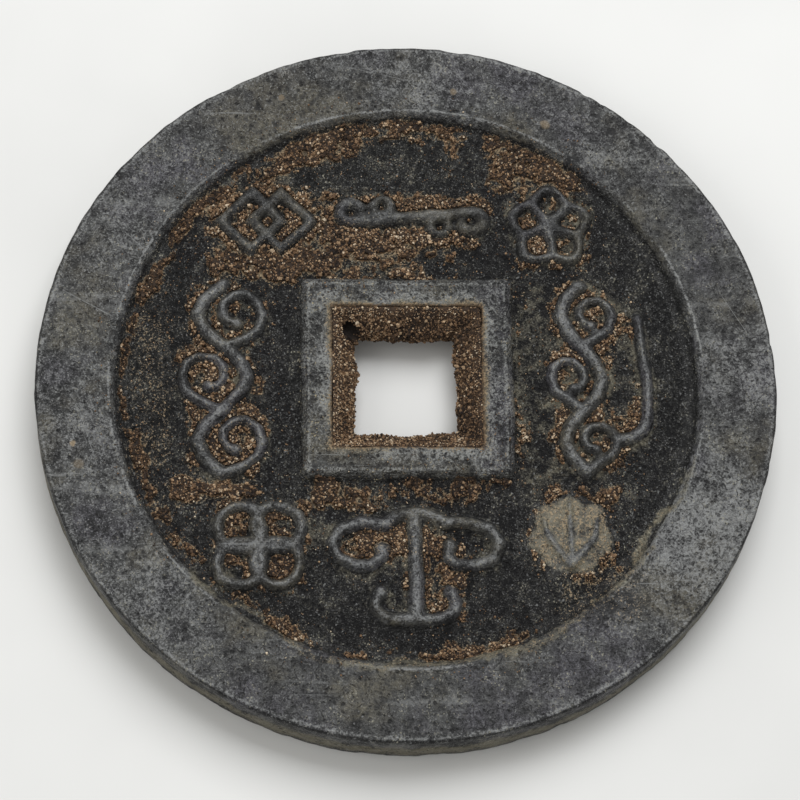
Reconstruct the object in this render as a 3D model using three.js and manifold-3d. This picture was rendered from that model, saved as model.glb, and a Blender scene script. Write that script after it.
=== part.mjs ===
// A large cast cash coin: a round flan with a square hole, a broad outer rim, a narrow rim round the hole,
// raised ornaments on both fields, and the sandy crust that clings to the hole and to the upper field.
// Millimetres, +Z up. The origin is on the plane that the coin lies on, under the middle of its round edge.
// Far is +Y, the way up that the ornaments of the upper face are read.

import * as THREE from "three";
import { mergeVertices } from "three/addons/utils/BufferGeometryUtils.js";
import Module from "manifold-3d";

const wasm = await Module();
wasm.setup();

// Flan and rims. Sizes seen from above are shares of the radius: a larger coin is drawn to the same design.
const COIN_RADIUS = 35.5;
const COIN_THICKNESS = 5.4;
const OUTER_RIM_WIDTH = COIN_RADIUS * 0.2; // the flat land, from the edge to where the wall falls away
const OUTER_WALL_RUN = COIN_RADIUS * 0.048; // how far the cast wall leans in on its way down to the field
const FIELD_DEPTH = 1.1; // of each field below its rims
const EDGE_ROUNDING = 0.45;
const SEAM_HEIGHT = 0.09; // the parting line of the two moulds, filed down to a low ridge round the edge
const SEAM_WIDTH = 0.8;
const HOLE_SIDE = COIN_RADIUS * 0.4;
const HOLE_SHIFT = COIN_RADIUS * 0.014; // the hole was cast a little towards the far side
const HOLE_RIM_WIDTH = COIN_RADIUS * 0.076;
const HOLE_WALL_RUN = COIN_RADIUS * 0.018;
const HOLE_CORNER_RADIUS = 0.5; // of the hole and its rim, seen from above
const HOLE_EDGE_ROUNDING = 0.3;

// Raised strokes
const RELIEF_HEIGHT = 0.9;
const STROKE_WIDTH = COIN_RADIUS * 0.035;
const FINE_STROKE_WIDTH = COIN_RADIUS * 0.027;
const STROKE_SKIRT = 0.22; // how much wider a stroke is at its foot, on each side

// Places of the ornaments on the upper face
const CORNER_TURNS = { farLeft: 129, farRight: 49, nearLeft: 229, nearRight: 315 }; // degrees from +X
const CORNER_RIM_MARGIN = COIN_RADIUS * 0.014; // clear field between a corner ornament and the outer rim
const CORNER_HOLE_MARGIN = COIN_RADIUS * 0.059; // and between it and the corner of the hole's rim
const SIDE_HOLE_MARGIN = COIN_RADIUS * 0.07; // clear field between a vine and the hole's rim
const SIDE_RIM_MARGIN = COIN_RADIUS * 0.056; // and between the vine's outer corners and the outer rim
const ACROSS_MARGIN = COIN_RADIUS * 0.028; // clear field at each end of the far band and the near cloud
const BAND_LIFT_SHARE = 0.4; // of the way from the hole's rim to the outer rim, to the middle of the far band
const BAND_HALF_SHARE = 0.15; // of the same way, half across the far band
const CLOUD_MARGIN = COIN_RADIUS * 0.062; // clear field at the head and at the foot of the near cloud
const LONG_LEAF_ROOM = COIN_RADIUS * 0.087; // across the leaf outside the right vine, with its clear field
const LONG_LEAF_REACH = 0.6; // how far the leaf goes up and down, as a share of the vine's half height

// Places of the ornaments on the lower face
const REVERSE_HOLE_MARGIN = COIN_RADIUS * 0.056;
const REVERSE_RIM_MARGIN = COIN_RADIUS * 0.068;
const REVERSE_HALF_WIDTH = COIN_RADIUS * 0.175;

// Crust
const CRUST_HEIGHT = 0.4; // of the patches on the field
const CRUST_GAP = 0.3; // between a patch and whatever stands next to it
const CRUST_RIPPLE = 0.12; // how far the crust's edges wander, as a share of its size
const FAR_ARC_WIDTH = COIN_RADIUS * 0.062; // of the crust banked against the outer rim
const FAR_ARC_TURNS = [46, 214]; // degrees from +X
const NEAR_ARC_WIDTH = COIN_RADIUS * 0.028;
const NEAR_ARC_TURNS = [238, 292];
const ARC_END_SHARE = 0.25; // of its width, at the ends of a bank
const FOOT_PATCH_HEIGHT = COIN_RADIUS * 0.05; // of the crust under the feet of the vines
const FOOT_PATCH_SHARE = 0.6; // of a half width, how far a patch at a foot goes to the right
const BAND_CRUST_REACH = COIN_RADIUS * 0.028; // of the crust beyond the far band
const CLOUD_CRUST_MARGIN = COIN_RADIUS * 0.042; // clear field between the near cloud's crust and the rim
const HOLE_CRUST_SETBACK = 0.45; // below the upper rim and above the lower one
const HOLE_CRUST = { far: 2.1, left: 2.2, near: 1.7, right: 2.6 }; // how far it reaches in at half height

// Smoothness
const ROUND_SEGMENTS = 68;
const RING_SEGMENTS = 10;
const BOSS_SEGMENTS = 8;
const WALL_STEPS = 3;
const ROUNDING_STEPS = 2;
const CAP_STEPS = 3;
const CURL_STEP = 40; // degrees of a curl between two points
const PATCH_POINTS = 22;
const ARC_STEP = 8; // degrees of a bank of crust between two points
const HOLE_CRUST_STATIONS = 8; // lengths that a wall of crust is drawn in

// Heights and radii that follow from the sizes above
const UPPER_FIELD = COIN_THICKNESS - FIELD_DEPTH;
const LOWER_FIELD = FIELD_DEPTH;
const MID_HEIGHT = COIN_THICKNESS / 2;
const RIM_FOOT = COIN_RADIUS - OUTER_RIM_WIDTH - OUTER_WALL_RUN;
const HOLE_HALF = HOLE_SIDE / 2;
const HOLE_RIM_HALF = HOLE_HALF + HOLE_RIM_WIDTH;
const HOLE_RIM_FOOT = HOLE_RIM_HALF + HOLE_WALL_RUN;
const STROKE_FOOT = STROKE_WIDTH / 2 + STROKE_SKIRT;
const FINE_FOOT = FINE_STROKE_WIDTH / 2 + STROKE_SKIRT;
const TIGHTEST_CURL = STROKE_FOOT * 1.15; // the smallest radius that a stroke can turn on

const at = (x, y) => new THREE.Vector2(x, y);
const HOLE_CENTRE = at(0, HOLE_SHIFT);

const metal = (color, roughness) => new THREE.MeshStandardMaterial({ color, roughness, metalness: 0.6 });
const rimMetal = () => metal(0x4b4e52, 0.55);
const fieldMetal = () => metal(0x26282b, 0.6);
const reliefMetal = () => metal(0x43474c, 0.5);
const crustStuff = () => new THREE.MeshStandardMaterial({ color: 0x7a5536, roughness: 0.95, metalness: 0 });

// Solids and booleans

/** A closed geometry as a solid that can be joined and cut. */
function solidOf(geometry) {
  const bare = geometry.clone().deleteAttribute("normal").deleteAttribute("uv");
  const merged = mergeVertices(bare.index ? bare.toNonIndexed() : bare);
  return new wasm.Manifold(
    new wasm.Mesh({
      numProp: 3,
      vertProperties: merged.attributes.position.array,
      triVerts: new Uint32Array(merged.index.array),
    }),
  );
}

/** A solid as a geometry with flat-shaded faces. */
function geometryOf(solid) {
  const { numProp, numVert, vertProperties, triVerts } = solid.getMesh();
  const positions = new Float32Array(numVert * 3);
  for (let i = 0; i < numVert; i++) {
    positions.set(vertProperties.subarray(i * numProp, i * numProp + 3), i * 3);
  }
  const indexed = new THREE.BufferGeometry();
  indexed.setAttribute("position", new THREE.BufferAttribute(positions, 3));
  indexed.setIndex(new THREE.BufferAttribute(new Uint32Array(triVerts), 1));
  const faceted = indexed.toNonIndexed();
  faceted.computeVertexNormals();
  return faceted;
}

const joined = (solids) => solids.reduce((sum, solid) => sum.add(solid));

/** The largest of the bodies that a cut leaves: crumbs cut off from a patch of crust fall away. */
const largestBody = (solid) => solid.decompose().reduce((a, b) => (a.volume() >= b.volume() ? a : b));

// Lofts

const fromAbove = ({ x, y }) => at(x, y);
const fromTheEnd = ({ y, z }) => at(y, z);

/** Adds the faces between two rings of as many points to a list of corners. */
function stitch(lower, upper, corners) {
  lower.forEach((point, i) => {
    const next = (i + 1) % lower.length;
    corners.push(point, lower[next], upper[next], point, upper[next], upper[i]);
  });
}

/** A solid through a row of rings, closed at both ends. The view flattens a ring into its plane. */
function loft(rings, view = fromAbove) {
  const corners = [];
  rings.slice(1).forEach((ring, i) => stitch(rings[i], ring, corners));
  const first = rings[0];
  const last = rings.at(-1);
  THREE.ShapeUtils.triangulateShape(last.map(view), []).forEach(([a, b, c]) => {
    corners.push(last[a], last[b], last[c]);
  });
  THREE.ShapeUtils.triangulateShape(first.map(view), []).forEach(([a, b, c]) => {
    corners.push(first[c], first[b], first[a]);
  });
  return solidOf(new THREE.BufferGeometry().setFromPoints(corners));
}

/** A solid that goes round an opening: the last of its rings is stitched to the first. */
function ringLoft(rings) {
  const corners = [];
  rings.forEach((ring, i) => stitch(ring, rings[(i + 1) % rings.length], corners));
  return solidOf(new THREE.BufferGeometry().setFromPoints(corners));
}

/** A flat slab with a given outline and thickness, standing on z = 0, with an optional hole. */
function slab(outline, depth, hole = null) {
  const shape = new THREE.Shape(outline);
  if (hole) shape.holes.push(new THREE.Path(hole));
  return solidOf(new THREE.ExtrudeGeometry(shape, { depth, bevelEnabled: false }));
}

/** Points anticlockwise round a middle, at a distance that may depend on the turn in radians. */
function roundOutline(count, distanceAt, middle = at(0, 0)) {
  return Array.from({ length: count }, (_, i) => {
    const turn = (i / count) * Math.PI * 2;
    const distance = distanceAt(turn);
    return at(middle.x + distance * Math.cos(turn), middle.y + distance * Math.sin(turn));
  });
}

/** A square with rounded corners round the middle of the hole, anticlockwise. */
function squareOutline(half, corner = HOLE_CORNER_RADIUS) {
  const outline = [];
  for (let quarter = 0; quarter < 4; quarter++) {
    const middle = (quarter + 0.5) * (Math.PI / 2);
    const reach = (half - corner) * Math.SQRT2;
    for (let step = 0; step <= CAP_STEPS; step++) {
      const turn = (quarter + step / CAP_STEPS) * (Math.PI / 2);
      const x = reach * Math.cos(middle) + corner * Math.cos(turn);
      const y = reach * Math.sin(middle) + corner * Math.sin(turn);
      outline.push(at(HOLE_CENTRE.x + x, HOLE_CENTRE.y + y));
    }
  }
  return outline;
}

const lifted = (outline, z) => outline.map(({ x, y }) => new THREE.Vector3(x, y, z));

// The casting

/** The S-shaped fall of a cast wall, as [share of its run, share of its depth], from field to land. */
function wallFall() {
  return Array.from({ length: WALL_STEPS + 1 }, (_, i) => {
    const run = i / WALL_STEPS;
    return [run, THREE.MathUtils.smoothstep(run, 0, 1)];
  });
}

/** A quarter round from level to upright, as [outward, upward] shares of its radius. */
function quarterRound() {
  return Array.from({ length: ROUNDING_STEPS + 1 }, (_, i) => {
    const turn = (i / ROUNDING_STEPS) * (Math.PI / 2);
    return [Math.sin(turn), Math.cos(turn)];
  });
}

/** The outer rim: the broad land on both faces, the walls down to both fields, and the seam on the edge. */
function outerRim() {
  const edge = COIN_RADIUS - SEAM_HEIGHT;
  const upper = wallFall().map(([run, rise]) => {
    return [RIM_FOOT + OUTER_WALL_RUN * run, UPPER_FIELD - MID_HEIGHT + FIELD_DEPTH * rise];
  });
  quarterRound().forEach(([out, up]) => {
    upper.push([edge - EDGE_ROUNDING * (1 - out), MID_HEIGHT - EDGE_ROUNDING * (1 - up)]);
  });
  upper.push([edge, SEAM_WIDTH / 2]);
  const lower = upper.map(([radius, height]) => [radius, -height]).reverse();
  const profile = [...upper, [COIN_RADIUS, 0], ...lower, upper[0]].reverse();
  const points = profile.map(([radius, height]) => at(radius, height));
  const geometry = new THREE.LatheGeometry(points, ROUND_SEGMENTS);
  geometry.rotateX(Math.PI / 2).translate(0, 0, MID_HEIGHT);
  return solidOf(geometry);
}

/** The plate between the two fields, from the outer rim in to the rim round the hole. */
function fieldPlate() {
  const outline = roundOutline(ROUND_SEGMENTS, () => RIM_FOOT);
  return slab(outline, UPPER_FIELD - LOWER_FIELD, squareOutline(HOLE_RIM_FOOT));
}

/** The raised frame round the square hole, with leaning outer walls and an upright bore. */
function holeRim() {
  const upper = wallFall().map(([run, rise]) => {
    return [HOLE_RIM_FOOT - HOLE_WALL_RUN * run, UPPER_FIELD + FIELD_DEPTH * rise];
  });
  quarterRound().forEach(([inward, up]) => {
    const half = HOLE_HALF + HOLE_EDGE_ROUNDING * (1 - inward);
    upper.push([half, COIN_THICKNESS - HOLE_EDGE_ROUNDING * (1 - up)]);
  });
  const lower = upper.map(([half, z]) => [half, COIN_THICKNESS - z]).reverse();
  return ringLoft([...upper, ...lower].map(([half, z]) => lifted(squareOutline(half), z)));
}

// Raised work

/** Points along a curl, from one radius and turn in degrees to another. The radius eases into its change. */
function curl(middle, fromRadius, toRadius, fromTurn, toTurn, squash = at(1, 1)) {
  const steps = Math.ceil(Math.abs(toTurn - fromTurn) / CURL_STEP);
  return Array.from({ length: steps + 1 }, (_, i) => {
    const along = i / steps;
    const turn = THREE.MathUtils.degToRad(THREE.MathUtils.lerp(fromTurn, toTurn, along));
    const radius = THREE.MathUtils.lerp(fromRadius, toRadius, along * along);
    return at(middle.x + radius * squash.x * Math.cos(turn), middle.y + radius * squash.y * Math.sin(turn));
  });
}

/** Points along a curve that one control point bends. */
function bend(from, control, to, steps = 5) {
  return new THREE.QuadraticBezierCurve(from, control, to).getPoints(steps);
}

const mirrored = (points) => points.map(({ x, y }) => at(-x, y));
const halfTurned = (points) => points.map(({ x, y }) => at(-x, -y));

/** The outline of a stroke with round ends along a line of points, anticlockwise. */
function strokeOutline(points, halfWidths) {
  const last = points.length - 1;
  const headings = points.map((_, i) => {
    return points[Math.min(i + 1, last)].clone().sub(points[Math.max(i - 1, 0)]).angle();
  });
  const spot = (i, turn) => {
    return at(points[i].x + halfWidths[i] * Math.cos(turn), points[i].y + halfWidths[i] * Math.sin(turn));
  };
  const cap = (i, fromTurn) => {
    const turns = Array.from({ length: CAP_STEPS - 1 }, (_, step) => (Math.PI * (step + 1)) / CAP_STEPS);
    return turns.map((turn) => spot(i, fromTurn + turn));
  };
  return [
    ...points.map((_, i) => spot(i, headings[i] - Math.PI / 2)),
    ...cap(last, headings[last] - Math.PI / 2),
    ...points.map((_, i) => spot(i, headings[i] + Math.PI / 2)).reverse(),
    ...cap(0, headings[0] + Math.PI / 2),
  ];
}

// A stroke's section: share of its width, share of its height, share of the skirt at its foot
const STROKE_SECTION = [
  [1, 0, 1],
  [0.86, 0.62, 0],
  [0.42, 1, 0],
];

/** Makes raised work round a place on the plane z = 0. */
class Pen {
  constructor(place = at(0, 0)) {
    this.place = place;
  }

  /** A pen of the same kind at a place beside this one's. */
  beside(x, y) {
    return new this.constructor(at(x, y).add(this.place));
  }

  moved(points) {
    return points.map((point) => point.clone().add(this.place));
  }

  /** A rounded ridge along a line of points, which may taper from a share of its width to another. */
  stroke(points, width, { startShare = 1, endShare = 1 } = {}) {
    const line = this.moved(points);
    const halfWidths = line.map((_, i) => {
      return (width / 2) * THREE.MathUtils.lerp(startShare, endShare, i / (line.length - 1));
    });
    return loft(
      STROKE_SECTION.map(([share, rise, skirt]) => {
        const outline = strokeOutline(line, halfWidths.map((half) => half * share + STROKE_SKIRT * skirt));
        return lifted(outline, RELIEF_HEIGHT * rise);
      }),
    );
  }

  /** A ridge that closes on itself, round an outline given for any distance outward from its middle line. */
  loop(outlineAt, width) {
    const outside = STROKE_SECTION.map(([share, rise, skirt]) => {
      return [(width / 2) * share + STROKE_SKIRT * skirt, rise];
    });
    const inside = outside.map(([reach, rise]) => [-reach, rise]).reverse();
    const rings = [...outside, ...inside].map(([reach, rise]) => {
      return lifted(this.moved(outlineAt(reach)), RELIEF_HEIGHT * rise);
    });
    return ringLoft(rings);
  }

  /** A mound whose outline is given for any share of its size and any spread, up to a share of the height. */
  mound(outlineAt, heightShare = 1) {
    const section = [
      [1, 0, STROKE_SKIRT],
      [0.88, 0.6, 0],
      [0.55, 1, 0],
    ];
    return loft(
      section.map(([share, rise, spread]) => {
        return lifted(this.moved(outlineAt(share, spread)), RELIEF_HEIGHT * heightShare * rise);
      }),
    );
  }

  /** A round mound. */
  boss(middle, radius) {
    return this.mound((share, spread) => roundOutline(BOSS_SEGMENTS, () => radius * share + spread, middle));
  }

  /** A round ridge. */
  ring(middle, radius, width) {
    return this.loop((reach) => roundOutline(RING_SEGMENTS, () => radius + reach, middle), width);
  }

  /** A square ridge standing on its corner. */
  lozenge(middle, halfDiagonal, width) {
    return this.loop((reach) => roundOutline(4, () => halfDiagonal + reach * Math.SQRT2, middle), width);
  }
}

/** Draws as a pen does, but makes slabs, as thick as the crust, of the work and the clear space round it. */
class Eraser extends Pen {
  slabOf(outline) {
    return slab(this.moved(outline), CRUST_HEIGHT);
  }

  stroke(points, width) {
    const half = width / 2 + STROKE_SKIRT + CRUST_GAP;
    const capsules = points.slice(1).map((point, i) => {
      return this.slabOf(strokeOutline([points[i], point], [half, half]));
    });
    return joined(capsules);
  }

  loop(outlineAt, width) {
    return this.slabOf(outlineAt(width / 2 + STROKE_SKIRT + CRUST_GAP));
  }

  mound(outlineAt) {
    return this.slabOf(outlineAt(1, STROKE_SKIRT + CRUST_GAP));
  }
}

// Ornaments. Each fills a box of the given half width and half height, with its middle at the pen's place.

/** A stroke that tapers and ends in a pearl. */
function pearled(pen, points, width) {
  const pearlRadius = width * 0.62;
  return pen.stroke(points, width, { endShare: 0.85 }).add(pen.boss(points.at(-1), pearlRadius));
}

/** Two interlaced lozenges side by side. */
function lozengePair(pen, halfWidth, halfHeight) {
  const halfDiagonal = halfHeight - FINE_FOOT * Math.SQRT2;
  const shift = halfWidth - halfHeight;
  return joined([
    pen.lozenge(at(-shift, 0), halfDiagonal, FINE_STROKE_WIDTH),
    pen.lozenge(at(shift, 0), halfDiagonal, FINE_STROKE_WIDTH),
  ]);
}

/** A running cloud: a wave that curls up on the left and down on the right, with a tendril on each side. */
function cloudBand(pen, halfWidth, halfHeight) {
  const rise = halfHeight / 4; // of the right end above the middle
  const radius = (halfHeight + rise - STROKE_FOOT) / 2;
  const middle = at(-halfWidth + radius + STROKE_FOOT, radius - rise);
  const end = curl(middle, radius, radius, 20, 270);
  const tendrilRadius = radius * 0.85;
  const root = -halfWidth * 0.36;
  const tendrilCurl = curl(at(root, tendrilRadius), tendrilRadius, tendrilRadius, -60, 170);
  const tendril = [at(root - tendrilRadius, 0), ...tendrilCurl];
  return joined([
    pen.stroke([...end, at(0, 0), ...halfTurned(end).reverse()], STROKE_WIDTH),
    pearled(pen, tendril, FINE_STROKE_WIDTH),
    pearled(pen, halfTurned(tendril), FINE_STROKE_WIDTH),
  ]);
}

/** A five-petalled blossom with a boss and five stamens. */
function blossom(pen, halfWidth, halfHeight) {
  const petals = 5;
  const radius = Math.min(halfWidth, halfHeight) - FINE_FOOT;
  const notchDepth = radius * 0.26;
  const lobed = (turn) => radius - notchDepth * (0.5 - 0.5 * Math.cos(petals * (turn - Math.PI / 2)));
  const outlineAt = (reach) => roundOutline(petals * 5, (turn) => lobed(turn) + reach);
  const stamens = Array.from({ length: petals }, (_, i) => {
    const turn = Math.PI / 2 + ((i + 0.5) / petals) * Math.PI * 2;
    const tip = at(Math.cos(turn), Math.sin(turn)).multiplyScalar(radius - notchDepth);
    return pen.stroke([tip.clone().multiplyScalar(0.2), tip], FINE_STROKE_WIDTH, { endShare: 0.8 });
  });
  return joined([pen.loop(outlineAt, FINE_STROKE_WIDTH), pen.boss(at(0, 0), radius * 0.3), ...stamens]);
}

/** An upright vine: a waving stem with a volute in each of its three bays, by turns right and left. */
function vine(pen, halfWidth, halfHeight) {
  const bays = 3;
  const bayHalf = (halfHeight - STROKE_FOOT) / bays;
  const swing = halfWidth * 0.5;
  const radius = Math.min((halfWidth - FINE_FOOT) * 0.62, bayHalf * 0.8);
  const innerRadius = Math.max(radius * 0.3, TIGHTEST_CURL);
  const steps = bays * 4;
  const stem = Array.from({ length: steps + 1 }, (_, i) => {
    const y = bays * bayHalf * ((2 * i) / steps - 1);
    return at(-swing * Math.sin((i / 4) * Math.PI), y);
  });
  const volutes = Array.from({ length: bays }, (_, bay) => {
    const y = bayHalf * (2 * bay + 1 - bays);
    const middle = at(halfWidth - FINE_FOOT - radius, y);
    const points = [at(0, y - bayHalf), ...curl(middle, radius, innerRadius, -75, 255)];
    return pearled(pen, bay % 2 === 0 ? points : mirrored(points), FINE_STROKE_WIDTH);
  });
  return joined([pen.stroke(stem, STROKE_WIDTH), ...volutes]);
}

/** A vine with a long leaf that springs from its foot and rises outside it. */
function vineAndLeaf(pen, halfWidth, halfHeight) {
  const vineHalf = halfWidth - LONG_LEAF_ROOM / 2;
  const reach = halfHeight * LONG_LEAF_REACH;
  const leafX = halfWidth - STROKE_FOOT;
  const root = at(2 * vineHalf - halfWidth - FINE_FOOT, -reach);
  const belly = at(leafX, -reach * 0.4);
  const top = at(leafX - STROKE_WIDTH * 0.7, reach);
  const lowerHalf = bend(root, at(leafX, -reach), belly, 4);
  const upperHalf = bend(belly, at(leafX + STROKE_SKIRT, 0), top, 4);
  return joined([
    vine(pen.beside(vineHalf - halfWidth, 0), vineHalf, halfHeight),
    pen.stroke([...lowerHalf, ...upperHalf.slice(1)], STROKE_WIDTH, { endShare: 0.6 }),
  ]);
}

/** A knot of four interlaced rings round a pearl. */
function ringKnot(pen, halfWidth, halfHeight) {
  const reach = Math.min(halfWidth, halfHeight) - FINE_FOOT;
  const radius = reach * 0.56;
  const shift = reach - radius;
  const rings = [at(shift, shift), at(-shift, shift), at(-shift, -shift), at(shift, -shift)];
  return joined([
    ...rings.map((middle) => pen.ring(middle, radius, FINE_STROKE_WIDTH)),
    pen.boss(at(0, 0), radius * 0.4),
  ]);
}

/** A broad scalloped leaf, low, with raised veins. */
function broadLeaf(pen, halfWidth, halfHeight) {
  const lobes = 7;
  const radius = Math.min(halfWidth, halfHeight) - STROKE_SKIRT;
  const scalloped = (turn) => radius * (0.93 + 0.07 * Math.cos(lobes * (turn - Math.PI / 2)));
  const foot = at(0, -radius * 0.7);
  const veins = [-1, 0, 1].map((side) => {
    const tip = at(radius * 0.58 * side, radius * (0.72 - 0.4 * Math.abs(side)));
    return pen.stroke(bend(foot, at(tip.x, -radius * 0.1), tip, 4), FINE_STROKE_WIDTH, { endShare: 0.6 });
  });
  const outlineAt = (share, spread) => roundOutline(lobes * 4, (turn) => scalloped(turn) * share + spread);
  return joined([pen.mound(outlineAt, 0.6), ...veins]);
}

/** A cloud head of two volutes and an arch, on a stem from whose foot two leaves rise. */
function cloudOnStem(pen, halfWidth, halfHeight) {
  const lobe = (halfWidth - STROKE_FOOT) * 0.56; // from the cusp to the middle of a volute
  const radius = halfWidth - STROKE_FOOT - lobe;
  const squash = at(1, Math.min(1, (halfHeight * 0.42) / radius));
  const archTop = halfHeight - STROKE_FOOT;
  const voluteY = archTop - radius * squash.y * 1.35;
  const archTurn = 120; // degrees, where a volute leaves the arch
  const sweep = Math.min(300, (85 * radius) / STROKE_FOOT); // a wide volute has room for more of a turn
  const innerRadius = Math.max(radius * 0.36, TIGHTEST_CURL);
  const volute = curl(at(lobe, voluteY), radius, innerRadius, archTurn, archTurn - sweep, squash);
  const arch = bend(volute[0], at(0, 2 * archTop - volute[0].y), mirrored(volute)[0], 8);
  const foot = at(0, -halfHeight + STROKE_FOOT);
  const leafTop = voluteY - radius * squash.y - STROKE_FOOT * 2;
  const leafTip = at(lobe * 0.72, leafTop);
  const leaf = bend(foot, at(lobe * 1.15, foot.y), leafTip, 5);
  return joined([
    pearled(pen, volute, STROKE_WIDTH),
    pearled(pen, mirrored(volute), STROKE_WIDTH),
    pen.stroke(arch, STROKE_WIDTH),
    pen.stroke([at(0, archTop), foot], STROKE_WIDTH),
    pearled(pen, leaf, STROKE_WIDTH),
    pearled(pen, mirrored(leaf), STROKE_WIDTH),
  ]);
}

// Places. A place is a box on the field: its middle, half width and half height.

function boxPlace(lowX, highX, lowY, highY) {
  return {
    middle: at((lowX + highX) / 2, (lowY + highY) / 2),
    halfWidth: (highX - lowX) / 2,
    halfHeight: (highY - lowY) / 2,
  };
}

/** The place of a corner ornament, between the hole's corner and the outer rim. */
function cornerPlace(turnDegrees, widthShare = 1, heightShare = 1) {
  const turn = THREE.MathUtils.degToRad(turnDegrees);
  const inner = HOLE_RIM_FOOT * Math.SQRT2 + CORNER_HOLE_MARGIN;
  const outer = RIM_FOOT - CORNER_RIM_MARGIN;
  const reach = (outer - inner) / 2;
  const distance = (outer + inner) / 2;
  return {
    middle: at(distance * Math.cos(turn), distance * Math.sin(turn)),
    halfWidth: reach * widthShare,
    halfHeight: reach * heightShare,
  };
}

/** The place between two corner ornaments, from one height to another. */
function acrossPlace(left, right, lowY, highY) {
  const lowX = left.middle.x + left.halfWidth + ACROSS_MARGIN;
  const highX = right.middle.x - right.halfWidth - ACROSS_MARGIN;
  return boxPlace(lowX, highX, lowY, highY);
}

/**
 * The place beside the hole on the right, or with side -1 on the left, as tall as the hole's rim.
 * Its ornament is as wide as the place up to a share of its half height.
 */
function sidePlace(side, wideShare = 1) {
  const halfHeight = HOLE_RIM_FOOT;
  const inner = HOLE_RIM_FOOT + SIDE_HOLE_MARGIN;
  const outer = Math.sqrt((RIM_FOOT - SIDE_RIM_MARGIN) ** 2 - (halfHeight * wideShare) ** 2);
  return {
    middle: at((side * (inner + outer)) / 2, HOLE_CENTRE.y),
    halfWidth: (outer - inner) / 2,
    halfHeight,
  };
}

const holeFoot = { far: HOLE_CENTRE.y + HOLE_RIM_FOOT, near: HOLE_CENTRE.y - HOLE_RIM_FOOT };
const farRoom = RIM_FOOT - holeFoot.far;
const bandY = holeFoot.far + farRoom * BAND_LIFT_SHARE;
const bandHalf = farRoom * BAND_HALF_SHARE;
const cloudTop = holeFoot.near - CLOUD_MARGIN;

const farLeft = cornerPlace(CORNER_TURNS.farLeft, 1.15, 0.85);
const farRight = cornerPlace(CORNER_TURNS.farRight);
const nearLeft = cornerPlace(CORNER_TURNS.nearLeft);
const nearRight = cornerPlace(CORNER_TURNS.nearRight);
const far = acrossPlace(farLeft, farRight, bandY - bandHalf, bandY + bandHalf);
const near = acrossPlace(nearLeft, nearRight, CLOUD_MARGIN - RIM_FOOT, cloudTop);
const left = sidePlace(-1);
const right = sidePlace(1, LONG_LEAF_REACH);

const UPPER_ORNAMENTS = [
  { name: "far_left_lozenges", draw: lozengePair, place: farLeft },
  { name: "far_cloud_band", draw: cloudBand, place: far },
  { name: "far_right_blossom", draw: blossom, place: farRight },
  { name: "left_vine", draw: vine, place: left },
  { name: "right_vine", draw: vineAndLeaf, place: right },
  { name: "near_left_knot", draw: ringKnot, place: nearLeft },
  { name: "near_cloud", draw: cloudOnStem, place: near },
  { name: "near_right_leaf", draw: broadLeaf, place: nearRight },
];

// Crust

/** How far the crust's edge wanders at a turn in radians, as a share of its size. */
function ripple(turn, phase) {
  return (CRUST_RIPPLE * (Math.sin(3 * turn + phase) + 0.7 * Math.sin(7 * turn + 2 * phase))) / 1.7;
}

/** The uneven, squarish outline of a patch of crust that fills a place, spread by some growth. */
function patchOutline(place, phase, growth) {
  const squarish = (share) => Math.sign(share) * Math.abs(share) ** 0.6;
  return Array.from({ length: PATCH_POINTS }, (_, i) => {
    const turn = (i / PATCH_POINTS) * Math.PI * 2;
    const size = 1 + ripple(turn, phase);
    return at(
      place.middle.x + (place.halfWidth * size + growth) * squarish(Math.cos(turn)),
      place.middle.y + (place.halfHeight * size + growth) * squarish(Math.sin(turn)),
    );
  });
}

/** The outline of a bank of crust along the outer rim's foot, between two turns, spread by some growth. */
function arcOutline([from, to], width, growth) {
  const outer = RIM_FOOT - CRUST_GAP;
  const count = Math.ceil((to - from) / ARC_STEP);
  const inside = [];
  const outside = [];
  for (let i = 0; i <= count; i++) {
    const turn = THREE.MathUtils.degToRad(THREE.MathUtils.lerp(from, to, i / count));
    const taper = THREE.MathUtils.lerp(ARC_END_SHARE, 1, Math.sin((Math.PI * i) / count) ** 0.4);
    const inner = outer - growth - width * taper * (1 + 2 * ripple(2 * turn, 1));
    outside.push(at(outer * Math.cos(turn), outer * Math.sin(turn)));
    inside.push(at(inner * Math.cos(turn), inner * Math.sin(turn)));
  }
  return [...outside, ...inside.reverse()];
}

/** The place of the crust under a vine's foot. */
function footPlace({ middle, halfWidth, halfHeight }) {
  const foot = middle.y - halfHeight;
  const highX = middle.x + halfWidth * FOOT_PATCH_SHARE;
  return boxPlace(middle.x - halfWidth, highX, foot - FOOT_PATCH_HEIGHT, foot + CRUST_GAP);
}

const bandLeft = farLeft.middle.x - farLeft.halfWidth;
const bandRight = far.middle.x + far.halfWidth * 0.8;
const bandCrustTop = bandY + bandHalf + BAND_CRUST_REACH;
const cloudRight = near.middle.x + near.halfWidth * FOOT_PATCH_SHARE;
const PATCH_PLACES = {
  crust_under_band: boxPlace(bandLeft, bandRight, holeFoot.far, bandY),
  crust_over_band: boxPlace(far.middle.x - far.halfWidth, bandRight, bandY, bandCrustTop),
  crust_left_foot: footPlace(left),
  crust_right_foot: footPlace(right),
  crust_hole_foot: boxPlace(-HOLE_RIM_HALF, HOLE_RIM_HALF, cloudTop - CRUST_GAP, holeFoot.near),
  crust_cloud_foot: boxPlace(near.middle.x, cloudRight, CLOUD_CRUST_MARGIN - RIM_FOOT, near.middle.y),
};

const CRUST_OUTLINES = {
  crust_far_arc: (growth) => arcOutline(FAR_ARC_TURNS, FAR_ARC_WIDTH, growth),
  crust_near_arc: (growth) => arcOutline(NEAR_ARC_TURNS, NEAR_ARC_WIDTH, growth),
};
Object.entries(PATCH_PLACES).forEach(([name, place], phase) => {
  CRUST_OUTLINES[name] = (growth) => patchOutline(place, phase, growth);
});

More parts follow.
